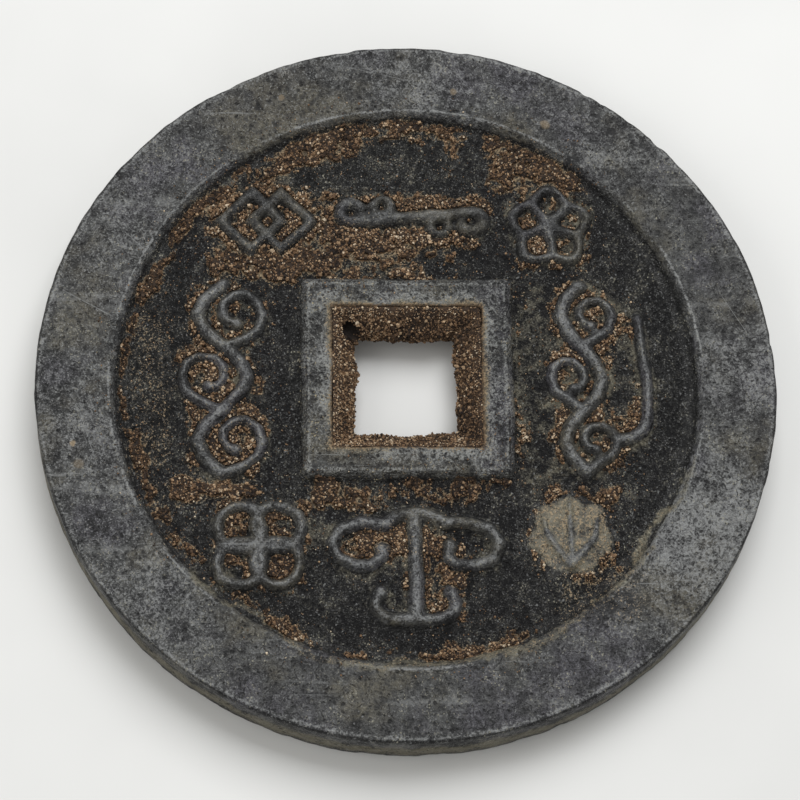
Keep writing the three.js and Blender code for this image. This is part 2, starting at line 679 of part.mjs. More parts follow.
/** The patches of crust, each cut clear of the rims, the ornaments and the patches before it. */
function crustPatches() {
  const roomOutline = roundOutline(ROUND_SEGMENTS, () => RIM_FOOT - CRUST_GAP);
  const room = slab(roomOutline, CRUST_HEIGHT, squareOutline(HOLE_RIM_FOOT + CRUST_GAP));
  const taken = UPPER_ORNAMENTS.map(({ draw, place }) => {
    return draw(new Eraser(place.middle), place.halfWidth, place.halfHeight);
  });
  return Object.entries(CRUST_OUTLINES).map(([name, outlineAt]) => {
    const whole = slab(outlineAt(0), CRUST_HEIGHT).intersect(room);
    const patch = taken.reduce((rest, solid) => rest.subtract(solid), whole);
    taken.push(slab(outlineAt(CRUST_GAP), CRUST_HEIGHT));
    return { name, solid: largestBody(patch) };
  });
}

/** The crust on the hole's far wall, with the middle of the hole at the origin. It swells at half height. */
function holeCrustWall(thickness, phase) {
  const low = HOLE_CRUST_SETBACK;
  const high = COIN_THICKNESS - HOLE_CRUST_SETBACK;
  const section = [
    [0, low],
    [0, high],
    [0.3, high],
    [0.8, THREE.MathUtils.lerp(MID_HEIGHT, high, 0.6)],
    [1, MID_HEIGHT],
    [0.85, THREE.MathUtils.lerp(MID_HEIGHT, low, 0.6)],
    [0.3, low],
  ];
  const rings = Array.from({ length: HOLE_CRUST_STATIONS + 1 }, (_, i) => {
    const along = (i / HOLE_CRUST_STATIONS) * 2 - 1;
    const depth = thickness * (1 + ripple(along * 2, phase));
    return section.map(([share, z]) => {
      const inward = share * depth;
      const mitre = Math.max(HOLE_CORNER_RADIUS, inward + CRUST_GAP / Math.SQRT2);
      return new THREE.Vector3(along * (HOLE_HALF - mitre), HOLE_HALF - inward, z);
    });
  });
  return loft(rings, fromTheEnd);
}

// Assembly

/** A named mesh. */
function piece(name, solid, material) {
  const mesh = new THREE.Mesh(geometryOf(solid), material);
  mesh.name = name;
  return mesh;
}

/** The casting without its ornaments. */
function casting() {
  const group = new THREE.Group();
  const plate = piece("field_plate", fieldPlate(), fieldMetal());
  plate.position.z = LOWER_FIELD;
  group.add(piece("outer_rim", outerRim(), rimMetal()), plate, piece("hole_rim", holeRim(), rimMetal()));
  return group;
}

/** The ornaments and the crust that stand on the upper field. */
function upperFace() {
  const group = new THREE.Group();
  group.position.z = UPPER_FIELD;
  UPPER_ORNAMENTS.forEach(({ name, draw, place }) => {
    const ornament = piece(name, draw(new Pen(), place.halfWidth, place.halfHeight), reliefMetal());
    ornament.position.set(place.middle.x, place.middle.y, 0);
    group.add(ornament);
  });
  crustPatches().forEach(({ name, solid }) => group.add(piece(name, solid, crustStuff())));
  return group;
}

/** Four clouds on the lower field, one on each side of the hole, with their heads outward. */
function lowerFace() {
  const group = new THREE.Group();
  group.rotation.x = Math.PI;
  group.position.set(HOLE_CENTRE.x, HOLE_CENTRE.y, LOWER_FIELD);
  const inner = HOLE_RIM_FOOT + REVERSE_HOLE_MARGIN;
  const outer = RIM_FOOT - Math.abs(HOLE_SHIFT) - REVERSE_RIM_MARGIN;
  const distance = (inner + outer) / 2;
  ["right", "near", "left", "far"].forEach((side, quarter) => {
    const turn = quarter * (Math.PI / 2);
    const solid = cloudOnStem(new Pen(), REVERSE_HALF_WIDTH, (outer - inner) / 2);
    const cloud = piece(`reverse_${side}_cloud`, solid, reliefMetal());
    cloud.position.set(distance * Math.cos(turn), distance * Math.sin(turn), 0);
    cloud.rotation.z = turn - Math.PI / 2;
    group.add(cloud);
  });
  return group;
}

/** The crust on the four walls of the hole. */
function holeLining() {
  const group = new THREE.Group();
  group.position.set(HOLE_CENTRE.x, HOLE_CENTRE.y, 0);
  Object.entries(HOLE_CRUST).forEach(([side, thickness], quarter) => {
    const wall = piece(`hole_crust_${side}`, holeCrustWall(thickness, quarter), crustStuff());
    wall.rotation.z = quarter * (Math.PI / 2);
    group.add(wall);
  });
  return group;
}

const coin = new THREE.Group();
coin.add(casting(), upperFace(), lowerFace(), holeLining());

export default coin;
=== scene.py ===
"""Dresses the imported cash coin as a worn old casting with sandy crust, and lights it on a pale floor.

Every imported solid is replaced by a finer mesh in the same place. Sizes are in millimetres until a mesh is
built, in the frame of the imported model. Far is +Y, the way up that the ornaments of the upper face are read.
"""

import itertools
import logging
import math
from collections.abc import Sequence
from dataclasses import dataclass
from enum import Enum

import bpy
import numpy as np
from mathutils import Matrix, Vector
from mathutils.bvhtree import BVHTree


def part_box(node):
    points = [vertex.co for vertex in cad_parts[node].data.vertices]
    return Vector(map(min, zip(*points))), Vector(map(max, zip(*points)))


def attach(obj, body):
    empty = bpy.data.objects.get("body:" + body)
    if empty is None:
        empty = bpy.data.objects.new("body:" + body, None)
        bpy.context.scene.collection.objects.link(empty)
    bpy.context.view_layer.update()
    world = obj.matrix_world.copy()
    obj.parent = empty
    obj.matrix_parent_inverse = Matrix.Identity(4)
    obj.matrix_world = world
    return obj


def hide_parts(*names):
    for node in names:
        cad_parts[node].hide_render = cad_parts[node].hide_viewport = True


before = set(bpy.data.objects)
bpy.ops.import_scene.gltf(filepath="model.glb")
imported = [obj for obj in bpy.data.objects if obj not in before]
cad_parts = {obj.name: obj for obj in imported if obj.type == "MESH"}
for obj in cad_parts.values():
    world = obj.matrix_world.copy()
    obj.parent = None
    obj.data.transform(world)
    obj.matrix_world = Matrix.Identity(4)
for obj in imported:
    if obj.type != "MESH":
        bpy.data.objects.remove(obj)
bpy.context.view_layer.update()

log = logging.getLogger("cash_coin")

MM = 0.001
TAU = 2 * math.pi
SHORT_OF_LAST = 1.001  # Keeps a place in a grid below its last row.
Colour = tuple[float, float, float]
Point = tuple[float, float]
Material = bpy.types.Material
Socket = bpy.types.NodeSocket

UPPER_ORNAMENTS = (
    "far_left_lozenges",
    "far_cloud_band",
    "far_right_blossom",
    "left_vine",
    "right_vine",
    "near_left_knot",
    "near_cloud",
    "near_right_leaf",
)
LOWER_ORNAMENTS = (
    "reverse_far_cloud",
    "reverse_left_cloud",
    "reverse_near_cloud",
    "reverse_right_cloud",
)


class Facing(Enum):
    """The way that a face of the coin looks."""

    UP = 1
    DOWN = -1


class Soil(Enum):
    """What lies on the metal in a bank of sand."""

    CRUST = "caked crust with grains"
    FILM = "a thin film of clay"
    DUST = "loose dust"


class Slot(Enum):
    """The record's material slots."""

    RIM = "rim_bronze"
    FIELD = "field_bronze"
    RELIEF = "relief_bronze"
    CRUST = "sandy_crust"


class Joining(Enum):
    """How a Math node joins two values."""

    MULTIPLIED = "MULTIPLY"
    HIGHEST = "MAXIMUM"
    SIZE = "ABSOLUTE"


class CellFeature(Enum):
    """What a cell texture measures the distance to."""

    MIDDLE = "F1"
    EDGE = "DISTANCE_TO_EDGE"


def smooth_step(values: np.ndarray, low: float, high: float) -> np.ndarray:
    """Eases values from 0 at one limit to 1 at the other."""
    share = np.clip((values - low) / (high - low), 0, 1)
    return share * share * (3 - 2 * share)


def fade(values: np.ndarray, full: float, gone: float) -> np.ndarray:
    """Eases values from 1 at one limit to 0 at a higher one."""
    return smooth_step(-values, -gone, -full)


def hump(values: np.ndarray, middle: float, width: float) -> np.ndarray:
    """A bell-shaped hump of values: 1 at its middle, and about a third at its width from there."""
    return np.exp(-(((values - middle) / width) ** 2))


def away(points: np.ndarray, x: float, y: float) -> np.ndarray:
    """How far some points are from a place, seen from above."""
    return np.hypot(points[:, 0] - x, points[:, 1] - y)


def at_level(x: np.ndarray, y: np.ndarray, level: float) -> np.ndarray:
    """Turns a grid of places at one height into rows of x, y and z."""
    return np.stack([x.ravel(), y.ravel(), np.full(x.size, level)], axis=1)


def whole_cells(mask: np.ndarray) -> np.ndarray:
    """Finds the cells of a grid that have all four corners in a mask."""
    return mask[:-1, :-1] & mask[1:, :-1] & mask[:-1, 1:] & mask[1:, 1:]


def blurred(values: np.ndarray, reach: float) -> np.ndarray:
    """Blurs a grid with a bell-shaped window.

    Args:
        values: A grid of numbers.
        reach: The bell's standard deviation, in cells.

    Returns:
        A grid of the same shape.
    """
    half = max(1, int(3 * reach))
    weights = np.exp(-0.5 * (np.arange(-half, half + 1) / reach) ** 2)
    weights /= weights.sum()
    result = values
    for axis in (0, 1):
        padded = np.pad(result, [(half, half) if a == axis else (0, 0) for a in (0, 1)], mode="edge")
        size = values.shape[axis]
        result = sum(w * padded.take(range(i, i + size), axis) for i, w in enumerate(weights))
    return result


@dataclass(frozen=True)
class CoinSizes:
    """The coin's main sizes in millimetres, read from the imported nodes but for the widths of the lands."""

    radius: float
    thickness: float
    upper_field: float
    lower_field: float
    rim_foot: float
    hole_foot: float
    hole_half: float
    hole_shift: float
    rim_width: float = 7.1
    hole_rim_width: float = 2.7
    flat_foot_share: float = 0.35

    @classmethod
    def packed(cls) -> "CoinSizes":
        """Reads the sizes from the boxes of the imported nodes.

        Returns:
            The sizes.
        """
        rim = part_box("outer_rim")[1] / MM
        plate_low, plate_high = (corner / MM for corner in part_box("field_plate"))
        hole_low, hole_high = (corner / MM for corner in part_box("hole_rim"))
        shift = (hole_low.y + hole_high.y) / 2
        return cls(
            radius=rim.x,
            thickness=rim.z,
            upper_field=plate_high.z,
            lower_field=plate_low.z,
            rim_foot=plate_high.x,
            hole_foot=hole_high.x,
            hole_half=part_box("hole_crust_far")[1].y / MM - shift,
            hole_shift=shift,
        )

    @property
    def land(self) -> float:
        """The radius at which the outer rim's land begins."""
        return self.radius - self.rim_width

    @property
    def wall_start(self) -> float:
        """The radius at which the outer rim's wall begins to rise."""
        return self.rim_foot + self.flat_foot_share * (self.land - self.rim_foot)

    @property
    def hole_land(self) -> float:
        """Half the side of the square where the land of the hole's rim ends."""
        return self.hole_half + self.hole_rim_width

    @property
    def field_depth(self) -> float:
        """The depth of the upper field below its rims."""
        return self.thickness - self.upper_field


class BumpField:
    """Smooth random bumps through space, the same on every run."""

    cells = 32
    apart = 7.3

    def __init__(self, seed: int) -> None:
        """Fills the lattice with random numbers."""
        self.table = np.random.default_rng(seed).uniform(-1, 1, (self.cells,) * 3)

    def at(self, points: np.ndarray, size: float) -> np.ndarray:
        """Reads the bumps at some points.

        Args:
            points: Rows of x, y and z.
            size: The size of a bump.

        Returns:
            A number from -1 to 1 for each point.
        """
        scaled = points / size
        low = np.floor(scaled).astype(int)
        part = scaled - low
        part = part * part * (3 - 2 * part)
        total = np.zeros(len(points))
        for corner in itertools.product((0, 1), repeat=3):
            index = (low + corner) % self.cells
            weight = np.prod(np.where(corner, part, 1 - part), axis=1)
            total += weight * self.table[index[:, 0], index[:, 1], index[:, 2]]
        return total

    def layers(self, points: np.ndarray, sizes_and_reaches: Sequence[Point]) -> np.ndarray:
        """Adds up bumps of several sizes, given each layer's bump size and height."""
        return sum(reach * self.at(points + self.apart * size, size) for size, reach in sizes_and_reaches)


@dataclass(frozen=True)
class CastSkin:
    """The unevenness of the cast metal. All pieces share it, so they meet without steps."""

    bumps: BumpField
    layers: tuple[Point, ...] = ((9.0, 0.07), (3.1, 0.06), (1.3, 0.05), (0.62, 0.03))

    def lift(self, points: np.ndarray) -> np.ndarray:
        """The height of the unevenness at some points."""
        return self.bumps.layers(points, self.layers)


@dataclass(frozen=True)
class Line:
    """A line that runs beside an edge, as a ridge, a groove or a stain does."""

    beyond: float
    width: float
    strength: float = 1.0

    def at(self, reach: np.ndarray, edge: float) -> np.ndarray:
        """The line's strength for each reach from the middle, given the edge's."""
        return self.strength * hump(reach, edge + self.beyond, self.width)


@dataclass(frozen=True)
class Breaks:
    """Bumps of one size that decide where a line or a dent shows, from a low value to a high one."""

    size: float
    low: float
    high: float
    apart: float = 0

    def at(self, points: np.ndarray, bumps: BumpField) -> np.ndarray:
        """How much shows at each point, from 0 to 1."""
        return smooth_step(bumps.at(points + self.apart, self.size), self.low, self.high)


@dataclass(frozen=True)
class Clouds:
    """Bumps of one size that swing a value round its middle."""

    middle: float
    swing: float
    size: float
    apart: float = 0

    def at(self, points: np.ndarray, bumps: BumpField) -> np.ndarray:
        """The value at each point."""
        return self.middle + self.swing * bumps.at(points + self.apart, self.size)


def placed(name: str, data: bpy.types.ID) -> bpy.types.Object:
    """Puts some data into the scene as an object.

    Args:
        name: The object's name.
        data: A mesh, a lamp or a camera.

    Returns:
        The object.
    """
    thing = bpy.data.objects.new(name, data)
    bpy.context.scene.collection.objects.link(thing)
    return thing


class MeshDraft:
    """The points, faces and marks of one piece, gathered from its parts."""

    def __init__(self) -> None:
        """Starts an empty draft."""
        self.points: list[np.ndarray] = []
        self.faces: list[np.ndarray] = []
        self.smooth: list[np.ndarray] = []
        self.marks: list[dict[str, np.ndarray]] = []
        self.count = 0

    def add(
        self, points: np.ndarray, faces: Sequence[np.ndarray], smooth: bool = True, **marks: np.ndarray
    ) -> None:
        """Adds a closed part.

        Args:
            points: Rows of x, y and z in millimetres.
            faces: Arrays of corner numbers, each with three or four columns.
            smooth: Whether the faces are shaded smooth.
            marks: A number for each point, by name, which the finish reads.
        """
        for corners in faces:
            if len(corners):
                self.faces.append(corners + self.count)
                self.smooth.append(np.full(len(corners), smooth))
        self.points.append(points)
        self.marks.append(marks)
        self.count += len(points)

    def build(self, name: str, finish: Material, slot: Slot, nodes: Sequence[str]) -> None:
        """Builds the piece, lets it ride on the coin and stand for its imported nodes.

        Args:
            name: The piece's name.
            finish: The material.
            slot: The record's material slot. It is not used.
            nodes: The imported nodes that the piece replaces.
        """
        mesh = bpy.data.meshes.new(name)
        points = np.concatenate(self.points) * MM
        corners = np.concatenate([f.ravel() for f in self.faces])
        sizes = np.concatenate([np.full(len(f), f.shape[1]) for f in self.faces])
        mesh.vertices.add(len(points))
        mesh.vertices.foreach_set("co", points.astype(np.float32).ravel())
        mesh.loops.add(len(corners))
        mesh.loops.foreach_set("vertex_index", corners.astype(np.int32))
        mesh.polygons.add(len(sizes))
        mesh.polygons.foreach_set("loop_start", (np.cumsum(sizes) - sizes).astype(np.int32))
        mesh.polygons.foreach_set("use_smooth", np.concatenate(self.smooth))
        mesh.update(calc_edges=True)
        for mark in sorted({key for marks in self.marks for key in marks}):
            values = [m.get(mark, np.zeros(len(p))) for m, p in zip(self.marks, self.points)]
            attribute = mesh.attributes.new(mark, "FLOAT", "POINT")
            attribute.data.foreach_set("value", np.concatenate(values).astype(np.float32))
        mesh.materials.append(finish)
        piece = placed(name, mesh)
        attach(piece, "root")
        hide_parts(*nodes)
        log.info("%s: %d points, %d faces, stands for %s", name, len(points), len(sizes), ", ".join(nodes))


def closed_sheet(rows: np.ndarray) -> tuple[np.ndarray, list[np.ndarray]]:
    """Turns rows of points round an opening into a closed skin: the last row joins the first.

    Args:
        rows: Points, as rows by columns by x, y and z.

    Returns:
        The points in one list, and the faces, which look outward.
    """
    count, columns = rows.shape[:2]
    row, column = np.meshgrid(np.arange(count), np.arange(columns), indexing="ij")
    next_row, next_column = (row + 1) % count, (column + 1) % columns
    corners = [row * columns + column, row * columns + next_column]
    corners += [next_row * columns + next_column, next_row * columns + column]
    quads = np.stack(corners, axis=-1).reshape(-1, 4)
    points = rows.reshape(-1, 3)
    a, b, c, d = (points[quads[:, i]] for i in range(4))
    volume = np.einsum("ij,ij->", np.cross(c - a, d - b), a)
    return points, [quads if volume > 0 else quads[:, ::-1]]


def height_solid(
    x: np.ndarray, y: np.ndarray, top: np.ndarray, bottom: float, inside: np.ndarray
) -> tuple[np.ndarray, list[np.ndarray], np.ndarray]:
    """Makes a closed solid from the cells of a grid: an uneven top, upright sides and a flat bottom.

    Args:
        x: The points' x, as a grid.
        y: The points' y, as a grid.
        top: The points' heights, as a grid.
        bottom: The height of the flat side.
        inside: Which cells belong to the solid. It has one row and one column less.

    Returns:
        The points, the faces, and which grid points the solid uses.
    """
    cells = inside.copy()
    while True:
        a, b, c, d = cells[:-1, :-1], cells[1:, :-1], cells[:-1, 1:], cells[1:, 1:]
        falling, rising = a & d & ~b & ~c, b & c & ~a & ~d
        if not (falling.any() or rising.any()):
            break
        cells[1:, :-1] |= falling
        cells[:-1, :-1] |= rising
    used = np.zeros(top.shape, bool)
    for i, j in itertools.product((0, 1), repeat=2):
        used[i : cells.shape[0] + i, j : cells.shape[1] + j] |= cells
    number = np.full(top.shape, -1)
    number[used] = np.arange(used.sum())
    count = int(used.sum())
    upper = np.stack([x[used], y[used], top[used]], axis=1)
    lower = np.stack([x[used], y[used], np.full(count, bottom)], axis=1)
    i, j = np.nonzero(cells)
    ring = [number[i, j], number[i + 1, j], number[i + 1, j + 1], number[i, j + 1]]
    quads = np.stack(ring, axis=1)
    faces = [quads, quads[:, ::-1] + count]
    walled = np.pad(cells, 1)
    neighbours = [walled[1:-1, :-2], walled[2:, 1:-1], walled[1:-1, 2:], walled[:-2, 1:-1]]
    for side, neighbour in enumerate(neighbours):
        open_side = ~neighbour[i, j]
        first, second = ring[side][open_side], ring[(side + 1) % 4][open_side]
        faces.append(np.stack([second, first, first + count, second + count], axis=1))
    if bottom > float(top[used].mean()):
        faces = [f[:, ::-1] for f in faces]
    return np.concatenate([upper, lower]), faces, used


class ReliefMap:
    """Heights of a face's ornaments above its field, on an even grid, softened as a casting is."""

    pitch = 0.08
    margin = 1.0
    softness = 0.17
    warp: Point = (2.0, 0.2)
    warp_level = 1.7
    warp_apart = 40
    fullness = 1.06
    wear: Point = (1.6, 0.1)
    floor = 0.015
    ray_start = 3

    def __init__(
        self, facing: Facing, level: float, half: float, nodes: Sequence[str], bumps: BumpField
    ) -> None:
        """Reads the ornaments' heights by looking straight down on each.

        Args:
            facing: The way that the face looks.
            level: The field's height.
            half: Half the side of the square that the map covers.
            nodes: The ornaments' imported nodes.
            bumps: What makes the strokes wander as hand-cut ones do.
        """
        steps = int(half / self.pitch)
        self.facing = facing
        self.level = level
        self.axis = np.arange(-steps, steps + 1) * self.pitch
        self.heights = np.zeros((len(self.axis),) * 2)
        self.windows: dict[str, tuple[slice, slice]] = {}
        self.parts: dict[str, np.ndarray] = {}
        for node in nodes:
            self._read(node, bumps)

    def _read(self, node: str, bumps: BumpField) -> None:
        """Reads one ornament's heights into its own window of the map.

        Args:
            node: The ornament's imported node.
            bumps: What makes the strokes wander.
        """
        low, high = (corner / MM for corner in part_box(node))
        window = tuple(
            slice(*np.searchsorted(self.axis, (low[a] - self.margin, high[a] + self.margin))) for a in (0, 1)
        )
        x, y = np.meshgrid(self.axis[window[0]], self.axis[window[1]], indexing="ij")
        flat = at_level(x, y, self.warp_level)
        size, reach = self.warp
        warped_x = flat[:, 0] + reach * bumps.at(flat, size)
        warped_y = flat[:, 1] + reach * bumps.at(flat + self.warp_apart, size)
        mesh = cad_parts[node].data
        mesh.calc_loop_triangles()
        triangles = [tuple(t.vertices) for t in mesh.loop_triangles]
        tree = BVHTree.FromPolygons([v.co for v in mesh.vertices], triangles)
        sign = self.facing.value
        start = (self.level + sign * self.ray_start) * MM
        direction = Vector((0, 0, -sign))
        raw = np.zeros(x.size)
        for i, (px, py) in enumerate(zip(warped_x.tolist(), warped_y.tolist())):
            place = tree.ray_cast((px * MM, py * MM, start), direction)[0]
            if place is not None:
                raw[i] = sign * (place.z / MM - self.level)
        soft = blurred(raw.reshape(x.shape), self.softness / self.pitch)
        wear_size, wear_reach = self.wear
        worn = self.fullness + wear_reach * bumps.at(flat, wear_size).reshape(x.shape)
        self.windows[node] = window
        self.parts[node] = soft * worn
        self.heights[window] = np.maximum(self.heights[window], self.parts[node])

    def at(self, x: np.ndarray, y: np.ndarray, heights: np.ndarray | None = None) -> np.ndarray:
        """Reads the map between its grid points.

        Args:
            x: Places in x.
            y: Places in y.
            heights: Another grid of the same shape, instead of the heights.

        Returns:
            The height at each place.
        """
        grid = self.heights if heights is None else heights
        last = len(self.axis) - SHORT_OF_LAST
        u = np.clip((x - self.axis[0]) / self.pitch, 0, last)
        v = np.clip((y - self.axis[0]) / self.pitch, 0, last)
        i, j = u.astype(int), v.astype(int)
        s, t = u - i, v - j
        near = grid[i, j] * (1 - s) + grid[i + 1, j] * s
        far = grid[i, j + 1] * (1 - s) + grid[i + 1, j + 1] * s
        covered = np.maximum(np.abs(x), np.abs(y)) < self.axis[-1]
        return (near * (1 - t) + far * t) * covered


class CoinFace:
    """One face of the coin as a surface: field, cast walls, ornaments and the metal's unevenness."""

    beyond_land = 1.5

    def __init__(self, facing: Facing, sizes: CoinSizes, skin: CastSkin, nodes: Sequence[str]) -> None:
        """Reads the face's ornaments.

        Args:
            facing: The way that the face looks.
            sizes: The coin's sizes.
            skin: The metal's unevenness.
            nodes: The ornaments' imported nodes.
        """
        self.facing = facing
        self.sizes = sizes
        self.skin = skin
        self.level = sizes.upper_field if facing is Facing.UP else sizes.lower_field
        self.relief = ReliefMap(facing, self.level, sizes.land + self.beyond_land, nodes, skin.bumps)

    def wall_rise(self, x: np.ndarray, y: np.ndarray) -> np.ndarray:
        """How far the walls of the two rims rise above the field at some places.

        Args:
            x: The places' x.
            y: The places' y.

        Returns:
            A height for each place.
        """
        outer = smooth_step(np.hypot(x, y), self.sizes.wall_start, self.sizes.land)
        beside = np.maximum(np.abs(x), np.abs(y - self.sizes.hole_shift))
        inner = fade(beside, self.sizes.hole_land, self.sizes.hole_foot)
        return self.sizes.field_depth * np.maximum(outer, inner)

    def ground(self, x: np.ndarray, y: np.ndarray) -> np.ndarray:
        """The height of the bare field, with the metal's unevenness, at some places."""
        return self.level + self.skin.lift(at_level(x, y, self.level)).reshape(x.shape)

    def surface(self, x: np.ndarray, y: np.ndarray) -> np.ndarray:
        """The height of the metal at some places, ornaments and walls included."""
        rise = np.maximum(self.wall_rise(x, y), self.relief.at(x, y))
        return self.ground(x, y) + self.facing.value * rise


@dataclass(frozen=True)
class SandBank:
    """A place on the upper face where sand has caked, as a soft-edged box or a bank along the outer rim.

    A box is given by its lowest and highest x and y, and a bank by its turns in degrees from +X and its
    radii. The hollow share says how much of the cover needs a stroke close by.
    """

    node: str
    spans: tuple[Point, Point]
    cover: float
    along_rim: bool = False
    hollow: float = 0.0
    edge: float = 1.0
    tone: float = 0.47
    soil: Soil = Soil.CRUST
    on_relief: bool = False
    along_edge = 3
    across_edge = 0.6

    def reach(self, x: np.ndarray, y: np.ndarray) -> np.ndarray:
        """How far inside the bank some places are.

        Args:
            x: The places' x.
            y: The places' y.

        Returns:
            A number for each place, from 0 outside to 1 well inside.
        """
        if self.along_rim:
            turn = np.degrees(np.arctan2(y, x)) % 360
            arc_edge = math.degrees(self.along_edge * self.edge / self.spans[1][1])
            first, second = (turn, arc_edge), (np.hypot(x, y), self.across_edge * self.edge)
        else:
            first, second = (x, self.edge), (y, self.edge)
        result = np.ones(x.shape)
        for (values, edge), (low, high) in zip((first, second), self.spans):
            after = smooth_step(values, low - edge, low + edge)
            result *= after * fade(values, high - edge, high + edge)
        return result


class SandCover:
    """Maps of the sand on the upper face: how thickly it lies, how pale it is, and the dust round it."""

    level = 31.0
    wander = ((4.5, 0.9), (1.5, 0.6), (0.55, 0.3))
    wander_apart = 17
    patchiness = ((3.1, 0.42), (1.1, 0.44), (0.42, 0.44))
    patches_apart = 5
    usual_tone = 0.47
    dust_reach = 0.8
    near_reach = 0.7
    tall_stroke = 0.35
    hollow_gain = 3.2
    bare_stroke = (0.08, 0.4)
    rim_gap = (1.1, 0.5)
    hole_gap = (0.1, 0.5)
    bare_crest = (0.6, 0.84)
    crest_bareness = 0.6
    crest_wander = 0.16
    stroke_shelter = 0.8
    caked = (0.3, 0.9)
    patchy_from = 0.25

    def __init__(self, face: CoinFace, banks: Sequence[SandBank]) -> None:
        """Lays the banks on the face.

        Args:
            face: The upper face.
            banks: The banks of sand.
        """
        self.face = face
        relief, bumps = face.relief, face.skin.bumps
        x, y = np.meshgrid(relief.axis, relief.axis, indexing="ij")
        flat = at_level(x, y, self.level)
        bent_x = x + bumps.layers(flat, self.wander).reshape(x.shape)
        bent_y = y + bumps.layers(flat + self.wander_apart, self.wander).reshape(x.shape)
        patches = bumps.layers(flat + self.patches_apart, self.patchiness).reshape(x.shape)
        tall = (relief.heights > self.tall_stroke).astype(float)
        self.hollows = np.clip(self.hollow_gain * blurred(tall, self.near_reach / relief.pitch), 0, 1)
        crest = smooth_step(relief.heights, *self.bare_stroke)
        room = self._room(x, y) * (1 - crest)
        worn_off = smooth_step(relief.heights + self.crest_wander * patches, *self.bare_crest)
        on_strokes = crest * (1 - self.crest_bareness * worn_off)
        self.covers: dict[str, np.ndarray] = {}
        self.total = np.zeros(x.shape)
        self.tones = np.full(x.shape, self.usual_tone)
        self.film = np.zeros(x.shape)
        loose = np.zeros(x.shape)
        for bank in banks:
            near_strokes = 1 - bank.hollow + bank.hollow * self.hollows
            wanted = bank.cover * bank.reach(bent_x, bent_y) * near_strokes
            if bank.soil is Soil.CRUST:
                self._cake(bank, wanted * room, patches)
                continue
            wanted *= on_strokes if bank.on_relief else 1 - self.stroke_shelter * crest
            thin = self.film if bank.soil is Soil.FILM else loose
            thin[:] = np.maximum(thin, wanted)
        self.dust = np.maximum(blurred(self.total, self.dust_reach / relief.pitch), loose)

    def _room(self, x: np.ndarray, y: np.ndarray) -> np.ndarray:
        """Where crust may lie: between the lands of the two rims.

        Args:
            x: The places' x.
            y: The places' y.

        Returns:
            A number for each place, from 0 where it stays bare to 1.
        """
        sizes = self.face.sizes
        beside = np.maximum(np.abs(x), np.abs(y - sizes.hole_shift))
        near_rim, far_rim = self.rim_gap
        near_hole, far_hole = self.hole_gap
        result = 1 - smooth_step(np.hypot(x, y), sizes.land - near_rim, sizes.land - far_rim)
        return result * smooth_step(beside, sizes.hole_land + near_hole, sizes.hole_land + far_hole)

    def _cake(self, bank: SandBank, wanted: np.ndarray, patches: np.ndarray) -> None:
        """Adds a bank of crust to the maps.

        Args:
            bank: The bank.
            wanted: How thickly it would lie if it were even.
            patches: What makes it patchy.
        """
        cover = smooth_step(wanted + patches * smooth_step(wanted, 0, self.patchy_from), *self.caked)
        self.tones = np.where(cover > self.total, bank.tone, self.tones)
        self.total = np.maximum(self.total, cover)
        self.covers[bank.node] = np.maximum(cover, self.covers.get(bank.node, 0))

    def marks(self, points: np.ndarray, where: np.ndarray | float = 1) -> dict[str, np.ndarray]:
        """The sand, dust and film that stain the metal, for its finish.

        Args:
            points: Rows of x, y and z.
            where: Which of them the sand can stain.

        Returns:
            A number for each point, by the name of the mark.
        """
        at, (x, y) = self.face.relief.at, points[:, :2].T
        maps = {"stain": self.total, "dust": self.dust, "film": self.film}
        return {name: at(x, y, values) * where for name, values in maps.items()}


